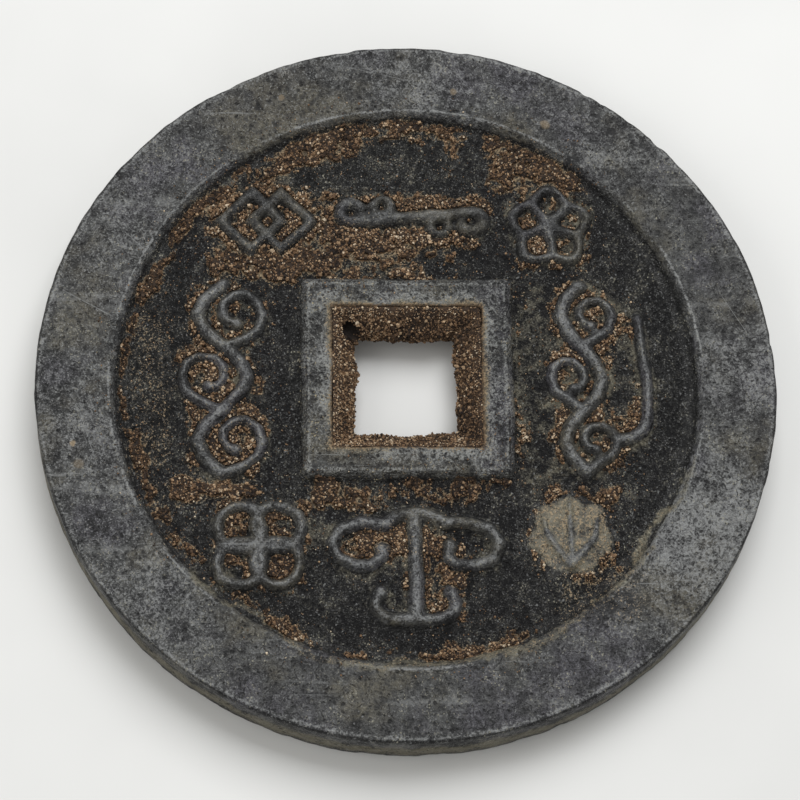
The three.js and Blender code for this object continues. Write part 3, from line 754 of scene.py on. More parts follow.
class NodeSketch:
    """A material's node tree, drawn with short calls. Sizes are in millimetres."""

    dot_core = 0.5
    dot_chance = 0.04
    scratch_stretch = (0.045, 1, 0.3)
    line_core: Point = (0.6, 0.35)
    spot_core = 0.5
    mix_colours = (6, 7)
    mix_result = 2

    def __init__(self, name: str) -> None:
        """Starts a material with a Principled shader.

        Args:
            name: The material's name.
        """
        self.material = bpy.data.materials.new(name)
        self.material.use_nodes = True
        self.tree = self.material.node_tree
        self.tree.nodes.clear()
        self.where = self.add("ShaderNodeTexCoord").outputs["Object"]
        self.shader = self.add("ShaderNodeBsdfPrincipled")
        output = self.add("ShaderNodeOutputMaterial")
        self.tree.links.new(self.shader.outputs["BSDF"], output.inputs["Surface"])

    def add(self, kind: str, **settings: object) -> bpy.types.Node:
        """Adds a node.

        Args:
            kind: The node's type.
            **settings: Properties to set on it.

        Returns:
            The node.
        """
        node = self.tree.nodes.new(kind)
        for key, value in settings.items():
            setattr(node, key, value)
        return node

    def feed(self, node: bpy.types.Node, values: dict[str | int, object]) -> None:
        """Links a node's inputs to sockets, or sets their values.

        Args:
            node: The node.
            values: A socket or a value for each input, by its name or its place.
        """
        for key, value in values.items():
            socket = node.inputs[key]
            if isinstance(value, Socket):
                self.tree.links.new(value, socket)
            elif isinstance(value, tuple) and len(value) == 3 and len(socket.default_value) == 4:
                socket.default_value = (*value, 1)
            else:
                socket.default_value = value

    def noise(
        self, size: float, detail: float, rough: float, shift: float, where: Socket | None = None
    ) -> Socket:
        """Cloudy noise.

        Args:
            size: The size of its largest clouds.
            detail: How many finer layers it has.
            rough: The strength of the finer layers.
            shift: A fourth coordinate, which makes it another noise.
            where: The place on the surface, if it is a changed one.

        Returns:
            A socket that goes from 0 to 1, mostly near the middle.
        """
        node = self.add("ShaderNodeTexNoise", noise_dimensions="4D")
        self.feed(node, {"Vector": where or self.where, "W": shift, "Scale": 1 / (size * MM)})
        self.feed(node, {"Detail": detail, "Roughness": rough})
        return node.outputs["Fac"]

    def bent(self, size: float, reach: float) -> Socket:
        """The place on the surface, pushed about by noise, so that cells lose their straight edges.

        Args:
            size: The size of the noise's largest clouds.
            reach: How far it pushes.

        Returns:
            A socket of places.
        """
        noise = self.add("ShaderNodeTexNoise")
        self.feed(noise, {"Vector": self.where, "Scale": 1 / (size * MM)})
        push = self.add("ShaderNodeVectorMath", operation="MULTIPLY_ADD")
        self.feed(push, {0: noise.outputs["Color"], 1: (reach * MM,) * 3, 2: self.where})
        return push.outputs[0]

    def cells(
        self, size: float, feature: CellFeature = CellFeature.MIDDLE, where: Socket | None = None
    ) -> bpy.types.Node:
        """Many small random cells.

        Args:
            size: Their size.
            feature: What the distance is measured to.
            where: The place on the surface, if it is a changed one.

        Returns:
            The node, whose outputs are a distance and a random colour for each cell.
        """
        node = self.add("ShaderNodeTexVoronoi", feature=feature.value)
        self.feed(node, {"Vector": where or self.where, "Scale": 1 / (size * MM)})
        return node

    def tones(self, size: float) -> Socket:
        """A random tone for each of many small cells, from 0 to 1 and mostly near the middle."""
        return self.cells(size).outputs["Color"]

    def dots(self, size: float, radius: float, least: float, where: Socket) -> Socket:
        """Scattered dots, as pits and nicks are.

        Args:
            size: How far they are apart, if none were left out.
            radius: Their radius, as a share of that.
            least: The random tone that a cell needs for a dot.
            where: The place on the surface, which may be a bent one.

        Returns:
            A mask of the dots.
        """
        node = self.cells(size, where=where)
        shape = self.ramp(node.outputs["Distance"], self.dot_core * radius, radius, 1, 0)
        return self.product(shape, self.ramp(node.outputs["Color"], least, least + self.dot_chance))

    def drawn_out(self, turn: float, size: float, shift: float) -> Socket:
        """Noise drawn out along a line, whose crests are fine scratches.

        Args:
            turn: The turn of the line, in radians.
            size: The noise's size across the line.
            shift: A fourth coordinate, which makes it another noise.

        Returns:
            A socket that goes from 0 to 1, mostly near the middle.
        """
        spun = self.add("ShaderNodeMapping")
        self.feed(spun, {"Vector": self.where, "Rotation": (0, 0, turn), "Scale": self.scratch_stretch})
        return self.noise(size, 2, 0.5, shift, spun.outputs[0])

    def _local(self, where: Socket, middle: Point, half: Point, turn: float = 0) -> Socket:
        """Places measured from the middle of a flat mark, along it and across it.

        Args:
            where: The place on the surface.
            middle: The mark's middle, in x and y.
            half: Half its length and half its width.
            turn: The turn of its length, in radians.

        Returns:
            A socket of places in which the mark goes from -1 to 1.
        """
        node = self.add("ShaderNodeMapping", vector_type="TEXTURE")
        self.feed(node, {"Vector": where, "Location": (middle[0] * MM, middle[1] * MM, 0)})
        self.feed(node, {"Rotation": (0, 0, turn), "Scale": (half[0] * MM, half[1] * MM, 1)})
        return node.outputs[0]

    def line(self, start: Point, end: Point, width: float) -> Socket:
        """A mask of one long scratch on an upper or lower face.

        Args:
            start: Where it starts, in x and y.
            end: Where it ends.
            width: Half its width.

        Returns:
            A socket that is 1 along the scratch and 0 elsewhere.
        """
        run, climb = end[0] - start[0], end[1] - start[1]
        middle = (start[0] + run / 2, start[1] + climb / 2)
        half = (math.hypot(run, climb) / 2, width)
        parts = self.add("ShaderNodeSeparateXYZ")
        self.feed(parts, {0: self._local(self.where, middle, half, math.atan2(climb, run))})
        along, across = (
            self.ramp(self.joined(Joining.SIZE, output), core, 1, 1, 0)
            for output, core in zip(parts.outputs, self.line_core)
        )
        return self.product(along, across)

    def spot(self, place: Point, radius: float, where: Socket) -> Socket:
        """A mask of one spot on an upper or lower face.

        Args:
            place: Its middle, in x and y.
            radius: Its radius.
            where: The place on the surface, bent if the spot is to be uneven.

        Returns:
            A socket that is 1 in the spot and 0 elsewhere.
        """
        length = self.add("ShaderNodeVectorMath", operation="LENGTH")
        self.feed(length, {0: self._local(where, place, (radius, radius))})
        return self.ramp(length.outputs["Value"], self.spot_core, 1, 1, 0)

    def ramp(self, value: Socket, low: float, high: float, start: float = 0, end: float = 1) -> Socket:
        """Eases a socket's value from one range to another, and holds it within the second.

        Args:
            value: The socket.
            low: The first range's start.
            high: The first range's end.
            start: The second range's start.
            end: The second range's end.

        Returns:
            The eased value.
        """
        node = self.add("ShaderNodeMapRange", interpolation_type="SMOOTHSTEP")
        self.feed(node, dict(enumerate((value, low, high, start, end))))
        return node.outputs["Result"]

    def joined(self, how: Joining, first: object, second: object = 0.0) -> Socket:
        """Joins two values with a Math node.

        Args:
            how: What the node does with them.
            first: A value or a socket.
            second: The same. It has no use where the node takes one value.

        Returns:
            The node's result.
        """
        node = self.add("ShaderNodeMath", operation=how.value)
        self.feed(node, {0: first, 1: second})
        return node.outputs[0]

    def product(self, first: object, second: object) -> Socket:
        """Multiplies two values."""
        return self.joined(Joining.MULTIPLIED, first, second)

    def most(self, *sockets: Socket) -> Socket:
        """The highest of several sockets.

        Args:
            *sockets: The sockets.

        Returns:
            Their highest value.
        """
        result = sockets[0]
        for socket in sockets[1:]:
            result = self.joined(Joining.HIGHEST, result, socket)
        return result

    def weighted(self, *parts: tuple[Socket, float], start: float = 0.0) -> Socket:
        """Adds up sockets, each times its weight.

        Args:
            *parts: Each socket and its weight.
            start: What is added to them.

        Returns:
            The sum.
        """
        total = start
        for socket, weight in parts:
            node = self.add("ShaderNodeMath", operation="MULTIPLY_ADD")
            self.feed(node, {0: socket, 1: weight, 2: total})
            total = node.outputs[0]
        return total

    def blend(self, share: object, first: object, second: object) -> Socket:
        """Blends two colours.

        Args:
            share: How much of the second there is, from 0 to 1.
            first: A colour or a socket.
            second: The same.

        Returns:
            The blended colour.
        """
        node = self.add("ShaderNodeMix", data_type="RGBA")
        self.feed(node, {"Factor": share, **dict(zip(self.mix_colours, (first, second)))})
        return node.outputs[self.mix_result]

    def mark(self, name: str) -> Socket:
        """A number that the mesh carries at each point."""
        return self.add("ShaderNodeAttribute", attribute_name=name).outputs["Fac"]

    def finish(self, colour: object, dullness: object, relief: Socket, depth: float) -> None:
        """Feeds the shader.

        Args:
            colour: A colour or a socket.
            dullness: The roughness, as a value or a socket.
            relief: A height map for the shading.
            depth: What it stands for at its highest, in millimetres.
        """
        bump = self.add("ShaderNodeBump")
        self.feed(bump, {"Height": relief, "Distance": depth * MM, "Strength": 1.0})
        self.feed(self.shader, {"Base Color": colour, "Roughness": dullness})
        self.feed(self.shader, {"Normal": bump.outputs["Normal"]})


@dataclass(frozen=True)
class Patina:
    """Old bronze: near black in the hollows, grey where it stands proud, worn, specked and sand-stained."""

    name: str
    hollow: Colour = (0.006, 0.006, 0.0065)
    silt: Colour = (0.036, 0.0358, 0.034)
    shade: Colour = (0.018, 0.0182, 0.019)
    body: Colour = (0.072, 0.0728, 0.0718)
    bloom: Colour = (0.08, 0.078, 0.088)
    worn: Colour = (0.24, 0.244, 0.242)
    earth: Colour = (0.12, 0.108, 0.078)
    fleck: Colour = (0.3, 0.285, 0.225)
    film: Colour = (0.17, 0.155, 0.112)
    dust: Colour = (0.34, 0.26, 0.165)
    sand: Colour = (0.17, 0.095, 0.046)
    metallic: float = 0.2
    specular: float = 0.36
    dullest: float = 0.68
    brightest: float = 0.42
    bump: float = 0.5
    wear_pull: float = 0.17
    long_scratches: tuple[tuple[Point, Point, float], ...] = ()
    pale_spots: tuple[tuple[Point, float, float], ...] = ()

    def material(self) -> Material:
        """Draws the patina."""
        return PatinaSketch(self).drawn()


class PatinaSketch(NodeSketch):
    """The node tree of a patina, drawn from the metal up to the dust."""

    def __init__(self, look: Patina) -> None:
        """Draws the noises that the layers share.

        Args:
            look: The patina's colours and values.
        """
        super().__init__(look.name)
        self.look = look
        self.rise = self.mark("rise")
        self.blotches = self.noise(8.0, 3, 0.6, shift=1)
        self.clouds = self.noise(2.4, 4, 0.7, shift=2)
        self.grit = self.noise(0.55, 3, 0.7, shift=3)
        self.fine = self.noise(0.16, 2, 0.7, shift=4)
        self.chips = self.tones(0.18)
        self.bent_place = self.bent(0.8, 0.7)
        self.mottle = self.weighted((self.clouds, 0.36), (self.grit, 0.36), (self.fine, 0.28))
        self.flakes = self.product(self.ramp(self.fine, 0.54, 0.66), self.ramp(self.grit, 0.4, 0.58))

    def _proud(self) -> Socket:
        """The colour of metal that stands proud: grey, earthy in places, pale where it is worn.

        Returns:
            The colour.
        """
        look, grit, mottle, blotches = self.look, self.grit, self.mottle, self.blotches
        colour = self.blend(self.ramp(blotches, 0.36, 0.5), look.bloom, look.body)
        colour = self.blend(self.ramp(mottle, 0.4, 0.55), look.shade, colour)
        grime_and_painted_shade = self.product(self.ramp(blotches, 0.5, 0.64), self.ramp(grit, 0.36, 0.6, 0.12, 0.72))
        colour = self.blend(grime_and_painted_shade, colour, look.earth)
        wear = (self.mark("wear"), look.wear_pull)
        light = self.weighted((mottle, 1.0), wear, (self.chips, 0.16), (blotches, -0.12))
        colour = self.blend(self.ramp(light, 0.55, 0.76), colour, look.worn)
        across = self.add("ShaderNodeSeparateXYZ")
        self.feed(across, {0: self.where})
        nearer = self.weighted((across.outputs["X"], 1.0), (across.outputs["Y"], -0.7))
        rougher = self.ramp(nearer, -20 * MM, 20 * MM, 1, 0.2)
        colour = self.blend(self.product(self.flakes, rougher), colour, look.worn)
        streaks = self.ramp(self.drawn_out(-0.6, 1.5, 7), 0.56, 0.7)
        streaks = self.product(streaks, self.ramp(self.clouds, 0.42, 0.6, 0, 0.4))
        return self.blend(streaks, colour, look.worn)

    def _low(self) -> Socket:
        """The near-black colour of the hollows, flecked with worn metal."""
        colour = self.blend(self.ramp(self.mottle, 0.43, 0.63), self.look.hollow, self.look.silt)
        return self.blend(self.product(self.flakes, 0.55), colour, self.look.worn)

    def _bright(self) -> Socket:
        """Nicks, fine scratches in two directions, and the few long ones.

        Returns:
            A mask of them.
        """
        nicks = self.dots(0.5, 0.24, 0.56, self.bent_place)
        one = self.ramp(self.drawn_out(0.5, 0.5, 5), 0.66, 0.72)
        other = self.ramp(self.drawn_out(2.1, 0.6, 6), 0.67, 0.73)
        where = self.product(self.rise, self.ramp(self.blotches, 0.35, 0.6))
        long = (self.line(*scratch) for scratch in self.look.long_scratches)
        return self.most(self.product(self.most(one, other), where), *long, nicks)

    def _dark(self) -> Socket:
        """Pits of two sizes, and cracks between large cells.

        Returns:
            A mask of them.
        """
        pits = self.dots(0.8, 0.3, 0.5, self.bent_place)
        small_pits = self.dots(0.42, 0.34, 0.54, self.bent_place)
        edges = self.cells(1.9, CellFeature.EDGE, self.bent_place).outputs["Distance"]
        cracks = self.product(self.ramp(edges, 0.0, 0.05, 1, 0), self.ramp(self.grit, 0.48, 0.6))
        return self.most(pits, cracks, small_pits)

    def _flecked(self, colour: Socket) -> Socket:
        """Adds pale specks and the few pale spots.

        Args:
            colour: The colour so far.

        Returns:
            The colour with them.
        """
        flecks = self.ramp(self.tones(0.12), 0.74, 0.97)
        flecks = self.product(flecks, self.ramp(self.clouds, 0.46, 0.62, 0.06, 1))
        colour = self.blend(flecks, colour, self.look.fleck)
        uneven = self.bent(0.5, 0.3)
        for place, radius, share in self.look.pale_spots:
            spot = self.product(self.spot(place, radius, uneven), share)
            colour = self.blend(spot, colour, self.look.dust)
        return colour

    def drawn(self) -> Material:
        """Lays the layers over each other.

        Returns:
            The material.
        """
        look, clouds, grit, fine = self.look, self.clouds, self.grit, self.fine
        height = self.ramp(self.weighted((self.rise, 1.0), (clouds, 0.5)), 0.36, 1.05)
        colour = self.blend(height, self._low(), self._proud())
        film = self.weighted((self.mark("film"), 1.0), (clouds, 1.4), (grit, 1.1), (fine, 0.5))
        film = self.ramp(film, 1.7, 2.3, 0, 0.85)
        colour = self.blend(film, colour, look.film)

        bright, dark = self._bright(), self._dark()
        colour = self.blend(self.product(bright, 0.6), colour, look.worn)
        colour = self.blend(self.product(dark, 0.7), colour, look.hollow)
        colour = self._flecked(colour)

        stain, dust = self.mark("stain"), self.mark("dust")
        dusted = self.weighted((dust, 0.42), (stain, 0.45), (fine, 0.85), (grit, 0.5), (self.chips, 0.2))
        dusted = self.ramp(dusted, 0.98, 1.14, 0, 0.9)
        sandy = self.blend(self.ramp(stain, 0.1, 0.7), look.dust, look.sand)
        sandy = self.blend(self.ramp(self.chips, 0.35, 0.65, 0.6, 0), sandy, look.shade)
        colour = self.blend(dusted, colour, sandy)

        dull = self.ramp(self.mottle, 0.4, 0.6, look.dullest, look.brightest)
        dull = self.weighted((dull, 1.0), (dusted, 0.3), (film, 0.15))
        bumps = self.weighted((clouds, 0.5), (grit, 0.9), (fine, 0.3), (dark, -0.2), (bright, 0.05))
        self.feed(self.shader, {"Metallic": look.metallic, "Specular IOR Level": look.specular})
        self.finish(colour, dull, bumps, look.bump)
        return self.material


@dataclass(frozen=True)
class SandFinish:
    """Caked sand, from dark brown through orange-brown to a few pale grains."""

    name: str = "sand"
    tones: tuple[tuple[float, Colour], ...] = (
        (0.0, (0.012, 0.008, 0.006)),
        (0.3, (0.07, 0.042, 0.024)),
        (0.58, (0.205, 0.122, 0.066)),
        (0.82, (0.42, 0.29, 0.175)),
        (1.0, (0.6, 0.5, 0.37)),
    )
    roughness: float = 0.85
    specular: float = 0.35
    bump: float = 0.05

    def material(self) -> Material:
        """Draws the node tree.

        Returns:
            The material.
        """
        sketch = NodeSketch(self.name)
        fine = sketch.noise(0.13, 2, 0.6, shift=1)
        broad = sketch.noise(2.4, 3, 0.6, shift=2)
        tone = sketch.weighted((sketch.mark("tint"), 1.0), (fine, 0.35), (broad, 0.5), start=-0.425)
        ramp = sketch.add("ShaderNodeValToRGB")
        stops = ramp.color_ramp.elements
        for index, (place, colour) in enumerate(self.tones):
            stop = stops[index] if index < 2 else stops.new(place)
            stop.position = place
            stop.color = (*colour, 1)
        sketch.feed(ramp, {"Fac": tone})
        dull = sketch.ramp(fine, 0.3, 0.7, self.roughness - 0.12, self.roughness + 0.1)
        sketch.feed(sketch.shader, {"Specular IOR Level": self.specular})
        sketch.finish(ramp.outputs["Color"], dull, fine, self.bump)
        return sketch.material


@dataclass(frozen=True)
class Finishes:
    """The materials of the coin."""

    rim: Material
    hole_rim: Material
    field: Material
    relief: Material
    sand: Material

    @classmethod
    def mixed(cls) -> "Finishes":
        """Makes all the materials.

        Returns:
            The materials.
        """
        scratches = (
            ((-33.2, 9.2), (-27.8, 6.2), 0.09),
            ((-28.5, 16.5), (-25.0, 13.2), 0.06),
            ((-31.5, -2.0), (-29.2, -9.0), 0.06),
            ((27.5, -12.0), (31.8, -15.2), 0.06),
            ((24.5, -20.5), (27.2, -18.0), 0.05),
            ((-6.0, 33.2), (3.5, 31.0), 0.05),
            ((30.2, 9.5), (33.4, 4.0), 0.05),
        )
        spots = (
            ((-31.5, -6.3), 0.36, 0.75),
            ((-30.9, -8.3), 0.6, 0.25),
            ((14.1, 27.1), 0.6, 0.45),
            ((5.1, 30.6), 0.45, 0.4),
            ((-11.9, 29.9), 0.4, 0.4),
        )
        rim = Patina("rim_patina", bump=0.45, long_scratches=scratches, pale_spots=spots)
        hole_rim = Patina(
            "hole_rim_patina",
            body=(0.064, 0.0645, 0.063),
            worn=(0.29, 0.295, 0.285),
            fleck=(0.4, 0.34, 0.22),
            wear_pull=0.24,
            bump=0.65,
        )
        field = Patina("field_patina", metallic=0.1, specular=0.2, dullest=0.72, brightest=0.42, bump=0.55)
        relief = Patina(
            "relief_patina",
            body=(0.062, 0.063, 0.063),
            worn=(0.175, 0.179, 0.18),
            metallic=0.15,
            specular=0.34,
            dullest=0.58,
            brightest=0.3,
            bump=0.3,
            wear_pull=0.22,
        )
        return cls(*(patina.material() for patina in (rim, hole_rim, field, relief)), SandFinish().material())


def eased_wall(start: Point, end: Point, steps: int) -> np.ndarray:
    """The S-shaped fall of a cast wall between two points of a profile, without the last.

    Args:
        start: The reach and height of one end.
        end: The reach and height of the other.
        steps: How many points it has.

    Returns:
        Rows of reach and height.
    """
    share = np.arange(steps) / steps
    reach = start[0] + (end[0] - start[0]) * share
    height = start[1] + (end[1] - start[1]) * smooth_step(share, 0, 1)
    return np.stack([reach, height], axis=1)


def straight(start: Point, end: Point, steps: int) -> np.ndarray:
    """Evenly spaced points of a profile between two points, without the last."""
    share = (np.arange(steps) / steps)[:, None]
    return np.array(start) * (1 - share) + np.array(end) * share


def quarter_round(middle: Point, radius: float, from_turn: float, steps: int) -> np.ndarray:
    """Points of a quarter circle in a profile, clockwise from a turn in degrees, without the last."""
    turn = np.radians(from_turn - 90 * np.arange(steps) / steps)
    return np.stack([middle[0] + radius * np.cos(turn), middle[1] + radius * np.sin(turn)], axis=1)


def raised(flat: np.ndarray, heights: np.ndarray) -> np.ndarray:
    """Gives rows of flat places their heights, one for each row."""
    return np.concatenate([flat, np.broadcast_to(heights[:, None, None], (*flat.shape[:2], 1))], axis=-1)


def swept(profile: np.ndarray, flat: np.ndarray, around: np.ndarray) -> tuple[np.ndarray, np.ndarray]:
    """Carries a profile round the coin or its hole.

    Args:
        profile: Rows of reach and height, clockwise.
        flat: The place of each point in x and y, as rows by columns.
        around: The way out from the middle at each.

    Returns:
        The points and the ways out of the skin, as rows of x, y and z.
    """
    along = np.roll(profile, -1, axis=0) - np.roll(profile, 1, axis=0)
    normals = np.stack([-along[:, 1], along[:, 0]], axis=1)
    normals /= np.linalg.norm(normals, axis=1, keepdims=True)
    out = raised(around * normals[:, :1, None], normals[:, 1])
    return raised(flat, profile[:, 1]).reshape(-1, 3), out.reshape(-1, 3)


def square_ring(half: np.ndarray, corner: float, per_side: int, per_corner: int, shift: float) -> np.ndarray:
    """Points round squares with rounded corners, anticlockwise from the lower right corner.

    Args:
        half: Half the side of each square.
        corner: The radius of the corners.
        per_side: How many points a side has.
        per_corner: How many points a corner has.
        shift: How far the squares' middle is towards the far side.

    Returns:
        Points, as squares by places by x and y.
    """
    half = np.asarray(half, float)[:, None]
    sides = []
    for quarter in range(4):
        along = -1 + 2 * (np.arange(per_side) + 0.5) / per_side
        turn = np.radians(90 * (np.arange(per_corner) + 0.5) / per_corner)
        straight_x = np.repeat(half, per_side, axis=1)
        straight_y = (half - corner) * along
        corner_x = half - corner + corner * np.cos(turn)
        corner_y = half - corner + corner * np.sin(turn)
        x = np.concatenate([straight_x, corner_x], axis=1)
        y = np.concatenate([straight_y, corner_y], axis=1)
        cos, sin = round(math.cos(quarter * TAU / 4)), round(math.sin(quarter * TAU / 4))
        sides.append(np.stack([x * cos - y * sin, x * sin + y * cos + shift], axis=-1))
    return np.concatenate(sides, axis=1)


@dataclass(frozen=True)
class OuterRim:
    """The broad outer rim with its lands, cast walls and filed edge."""

    sizes: CoinSizes
    skin: CastSkin
    columns: int = 900
    edge_rounding: float = 0.4
    foot_overlap: float = 0.12
    foot_depth: float = 0.06
    fillet: Point = (0.02, 0.012)
    wall_lift: float = 0.02
    seam_height: float = 0.08
    seam_width: float = 0.3
    lip_width: float = 0.95
    hidden_reach: float = 0.01
    hidden_unevenness: float = 0.3
    least_upward: float = 0.5
    least_slope: float = 0.02
    dented_edge: Line = Line(-0.3, 0.5)
    dent_depth: float = 0.17
    dents: Breaks = Breaks(1.4, 0.25, 0.9)
    ridge: Line = Line(0.1, 0.16, 0.05)
    groove: Line = Line(0.5, 0.16, 0.07)
    line_breaks: Breaks = Breaks(2.6, -0.55, 0.15, apart=11)
    side_start: Point = (0.35, 0.12)
    side_rise: float = 0.62
    side_film: float = 0.85
    side_band: Point = (0.4, 0.28)
    foot_share: float = 0.3
    land_depth: float = 0.08
    land_rise: float = 0.9
    # Grime and painted shade: dark lines in the land's groove and along the rounded outer edge.
    grime_and_painted_shade_groove: Line = Line(0.5, 0.14, 0.4)
    grime_and_painted_shade_edge: Line = Line(-0.2, 0.1)
    grime_and_shade_depth: float = 0.7
    grime_and_shade_breaks: Breaks = Breaks(3.0, -0.7, 0.1, apart=4)
    worn_edge: Line = Line(-0.5, 0.22, 0.85)
    worn_brink: Line = Line(0.06, 0.15, 1.1)
    wear_breaks: Breaks = Breaks(4.0, -0.6, 0.1)
    worn_radius: float = 31.8
    dark_place: tuple[float, float, float, float] = (-1.0, -31.8, 10.0, 0.32)
    specks: tuple[tuple[float, float, float, float], ...] = (
        (-31.6, -6.4, 0.34, 0.09),
        (-30.1, -12.9, 0.26, 0.1),
        (-29.7, -13.7, 0.26, 0.1),
        (27.9, 17.7, 0.5, 0.12),
        (14.0, 26.9, 0.4, 0.1),
        (-32.3, 6.3, 0.35, -0.08),
        (-31.0, -8.5, 0.7, -0.08),
        (27.4, -13.6, 0.3, 0.07),
        (20.3, 23.4, 0.3, 0.09),
    )
    worn_places: tuple[tuple[float, float, float], ...] = (
        (-30.0, 9.0, 1.0),
        (2.0, 6.0, 0.6),
        (50.0, 5.0, 0.45),
        (88.0, 6.0, 0.5),
        (150.0, 6.0, 0.45),
        (188.0, 7.0, 0.5),
        (222.0, 6.0, 0.55),
    )

    def profile(self) -> np.ndarray:
        """The rim's closed outline, clockwise from the foot of the upper wall.

        Returns:
            Rows of reach and height.
        """
        s = self.sizes
        rounding = self.edge_rounding
        edge = s.radius - self.seam_height
        lip = s.land + self.lip_width
        foot = s.rim_foot - self.foot_overlap
        upper_foot, lower_foot = s.upper_field - self.foot_depth, s.lower_field + self.foot_depth
        ledge = (s.rim_foot + self.fillet[0], s.upper_field + self.fillet[1])
        wall = (s.wall_start, s.upper_field + self.wall_lift)
        upper = [
            straight((foot, upper_foot), ledge, 1),
            straight(ledge, wall, 3),
            eased_wall(wall, (s.land, s.thickness), 11),
            straight((s.land, s.thickness), (lip, s.thickness), 10),
            straight((lip, s.thickness), (edge - rounding, s.thickness), 24),
            quarter_round((edge - rounding, s.thickness - rounding), rounding, 90, 7),
        ]
        side = straight((edge, s.thickness - rounding), (edge, rounding), 16)
        side[:, 0] += self.seam_height * hump(side[:, 1], s.thickness / 2, self.seam_width)
        lower = [
            quarter_round((edge - rounding, rounding), rounding, 0, 5),
            straight((edge - rounding, 0), (s.land, 0), 14),
            eased_wall((s.land, 0), (foot, lower_foot), 9),
        ]
        hidden = straight((foot, lower_foot), (foot, upper_foot), 2)
        return np.concatenate([*upper, side, *lower, hidden])

    def _bends(self, points: np.ndarray, normals: np.ndarray) -> np.ndarray:
        """How far each point goes out: unevenness, dents along the edges, and specks of the casting.

        Args:
            points: Rows of x, y and z.
            normals: The way out at each.

        Returns:
            A height for each point.
        """
        s, bumps = self.sizes, self.skin.bumps
        radius = away(points, 0, 0)
        on_top = normals[:, 2] > self.least_upward
        edge = self.dented_edge.at(radius, s.radius) * (np.abs(normals[:, 2]) > self.least_slope)
        dents = self.dent_depth * edge * self.dents.at(points, bumps)
        lines = self.ridge.at(radius, s.land) - self.groove.at(radius, s.land)
        lift = self.skin.lift(points) - dents + lines * on_top * self.line_breaks.at(points, bumps)
        for x, y, size, height in self.specks:
            lift += height * hump(away(points, x, y), 0, size) * on_top
        return lift

    def _marks(self, points: np.ndarray, sand: SandCover) -> dict[str, np.ndarray]:
        """What the finish reads: what lies on the metal; how proud it stands, lowered for grime and painted
        shade along the outer edge and the land's groove, and lowered round one place at the near side; and how
        worn it is.

        Args:
            points: Rows of x, y and z.
            sand: The sand on the upper face.

        Returns:
            A number for each point, by the name of the mark.
        """
        s, bumps = self.sizes, self.skin.bumps
        half, radius = s.thickness / 2, away(points, 0, 0)
        on_side = smooth_step(radius, *(s.radius - reach for reach in self.side_start))
        marks = sand.marks(points, points[:, 2] > half)
        band = hump(points[:, 2], *(share * s.thickness for share in self.side_band))
        marks["film"] = np.maximum(marks["film"], self.side_film * on_side * band)

        foot = s.upper_field + self.foot_share * s.field_depth - half
        rise = smooth_step(np.abs(points[:, 2] - half), foot, half - self.land_depth)
        rise = np.maximum(rise * (1 - on_side), self.side_rise * on_side)
        # Grime and painted shade: the groove and the outer edge are darkened by lowering the rise.
        groove = self.grime_and_painted_shade_groove.at(radius, s.land) * (rise > self.land_rise)
        grime_and_painted_shade = np.maximum(self.grime_and_painted_shade_edge.at(radius, s.radius), groove)
        rise *= 1 - self.grime_and_shade_depth * grime_and_painted_shade * self.grime_and_shade_breaks.at(points, bumps)
        x, y, size, depth = self.dark_place
        marks["rise"] = rise * (1 - depth * hump(away(points, x, y), 0, size))

        wear = self.worn_edge.at(radius, s.radius) * (1 - on_side)
        wear += self.worn_brink.at(radius, s.land) * self.wear_breaks.at(points, bumps)
        for turn, size, strength in self.worn_places:
            x, y = (self.worn_radius * trig(math.radians(turn)) for trig in (math.cos, math.sin))
            wear = np.maximum(wear, strength * hump(away(points, x, y), 0, size) * (1 - on_side))
        marks["wear"] = wear
        return marks

    def build(self, finish: Material, sand: SandCover) -> None:
        """Builds the rim.

        Args:
            finish: The patina.
            sand: The sand on the upper face, which stains the rim's foot.
        """
        profile = self.profile()
        turns = TAU * np.arange(self.columns) / self.columns
        around = np.stack([np.cos(turns), np.sin(turns)], axis=1)
        points, out = swept(profile, profile[:, :1, None] * around, around)
        hidden = away(points, 0, 0) < self.sizes.rim_foot - self.foot_overlap + self.hidden_reach
        even = self.hidden_unevenness * self.skin.lift(points)
        lift = np.where(hidden, even, self._bends(points, out))
        points = points + out * lift[:, None]
        points[:, 2] = np.clip(points[:, 2], 0, None)
        draft = MeshDraft()
        draft.add(*closed_sheet(points.reshape(len(profile), -1, 3)), **self._marks(points, sand))
        draft.build("rim_of_edge", finish, Slot.RIM, ["outer_rim"])


@dataclass(frozen=True)
class FieldPlate:
    """The sunk plate between the rims, with both its fields."""

    sizes: CoinSizes
    upper: CoinFace
    lower: CoinFace
    columns: int = 760
    upper_rows: int = 74
    lower_rows: int = 30
    overlap: float = 0.1

    def _rows(self, count: int, face: CoinFace) -> np.ndarray:
        """The points of one field, from the hole's rim out to the outer rim.

        Args:
            count: How many rows there are.
            face: The face.

        Returns:
            Points, as rows by columns by x, y and z.
        """
        s = self.sizes
        turns = TAU * (np.arange(self.columns) + 0.5) / self.columns
        cos, sin = np.cos(turns), np.sin(turns)
        square = (s.hole_foot - self.overlap) / np.maximum(np.abs(cos), np.abs(sin))
        inner = np.stack([square * cos, square * sin + s.hole_shift], axis=1)
        outer = (s.rim_foot + self.overlap) * np.stack([cos, sin], axis=1)
        share = np.linspace(0, 1, count)[:, None, None]
        flat = inner * (1 - share) + outer * share
        return np.concatenate([flat, face.ground(flat[..., 0], flat[..., 1])[..., None]], axis=-1)

    def build(self, finish: Material, sand: SandCover) -> None:
        """Builds the plate.

        Args:
            finish: The patina.
            sand: The sand on the upper face, which stains the field.
        """
        upper = self._rows(self.upper_rows, self.upper)
        lower = self._rows(self.lower_rows, self.lower)[::-1]
        points, faces = closed_sheet(np.concatenate([upper, lower]))
        upward = np.arange(len(points)) < self.upper_rows * self.columns
        draft = MeshDraft()
        draft.add(points, faces, rise=np.zeros(len(points)), **sand.marks(points, upward))
        draft.build("field", finish, Slot.FIELD, ["field_plate"])


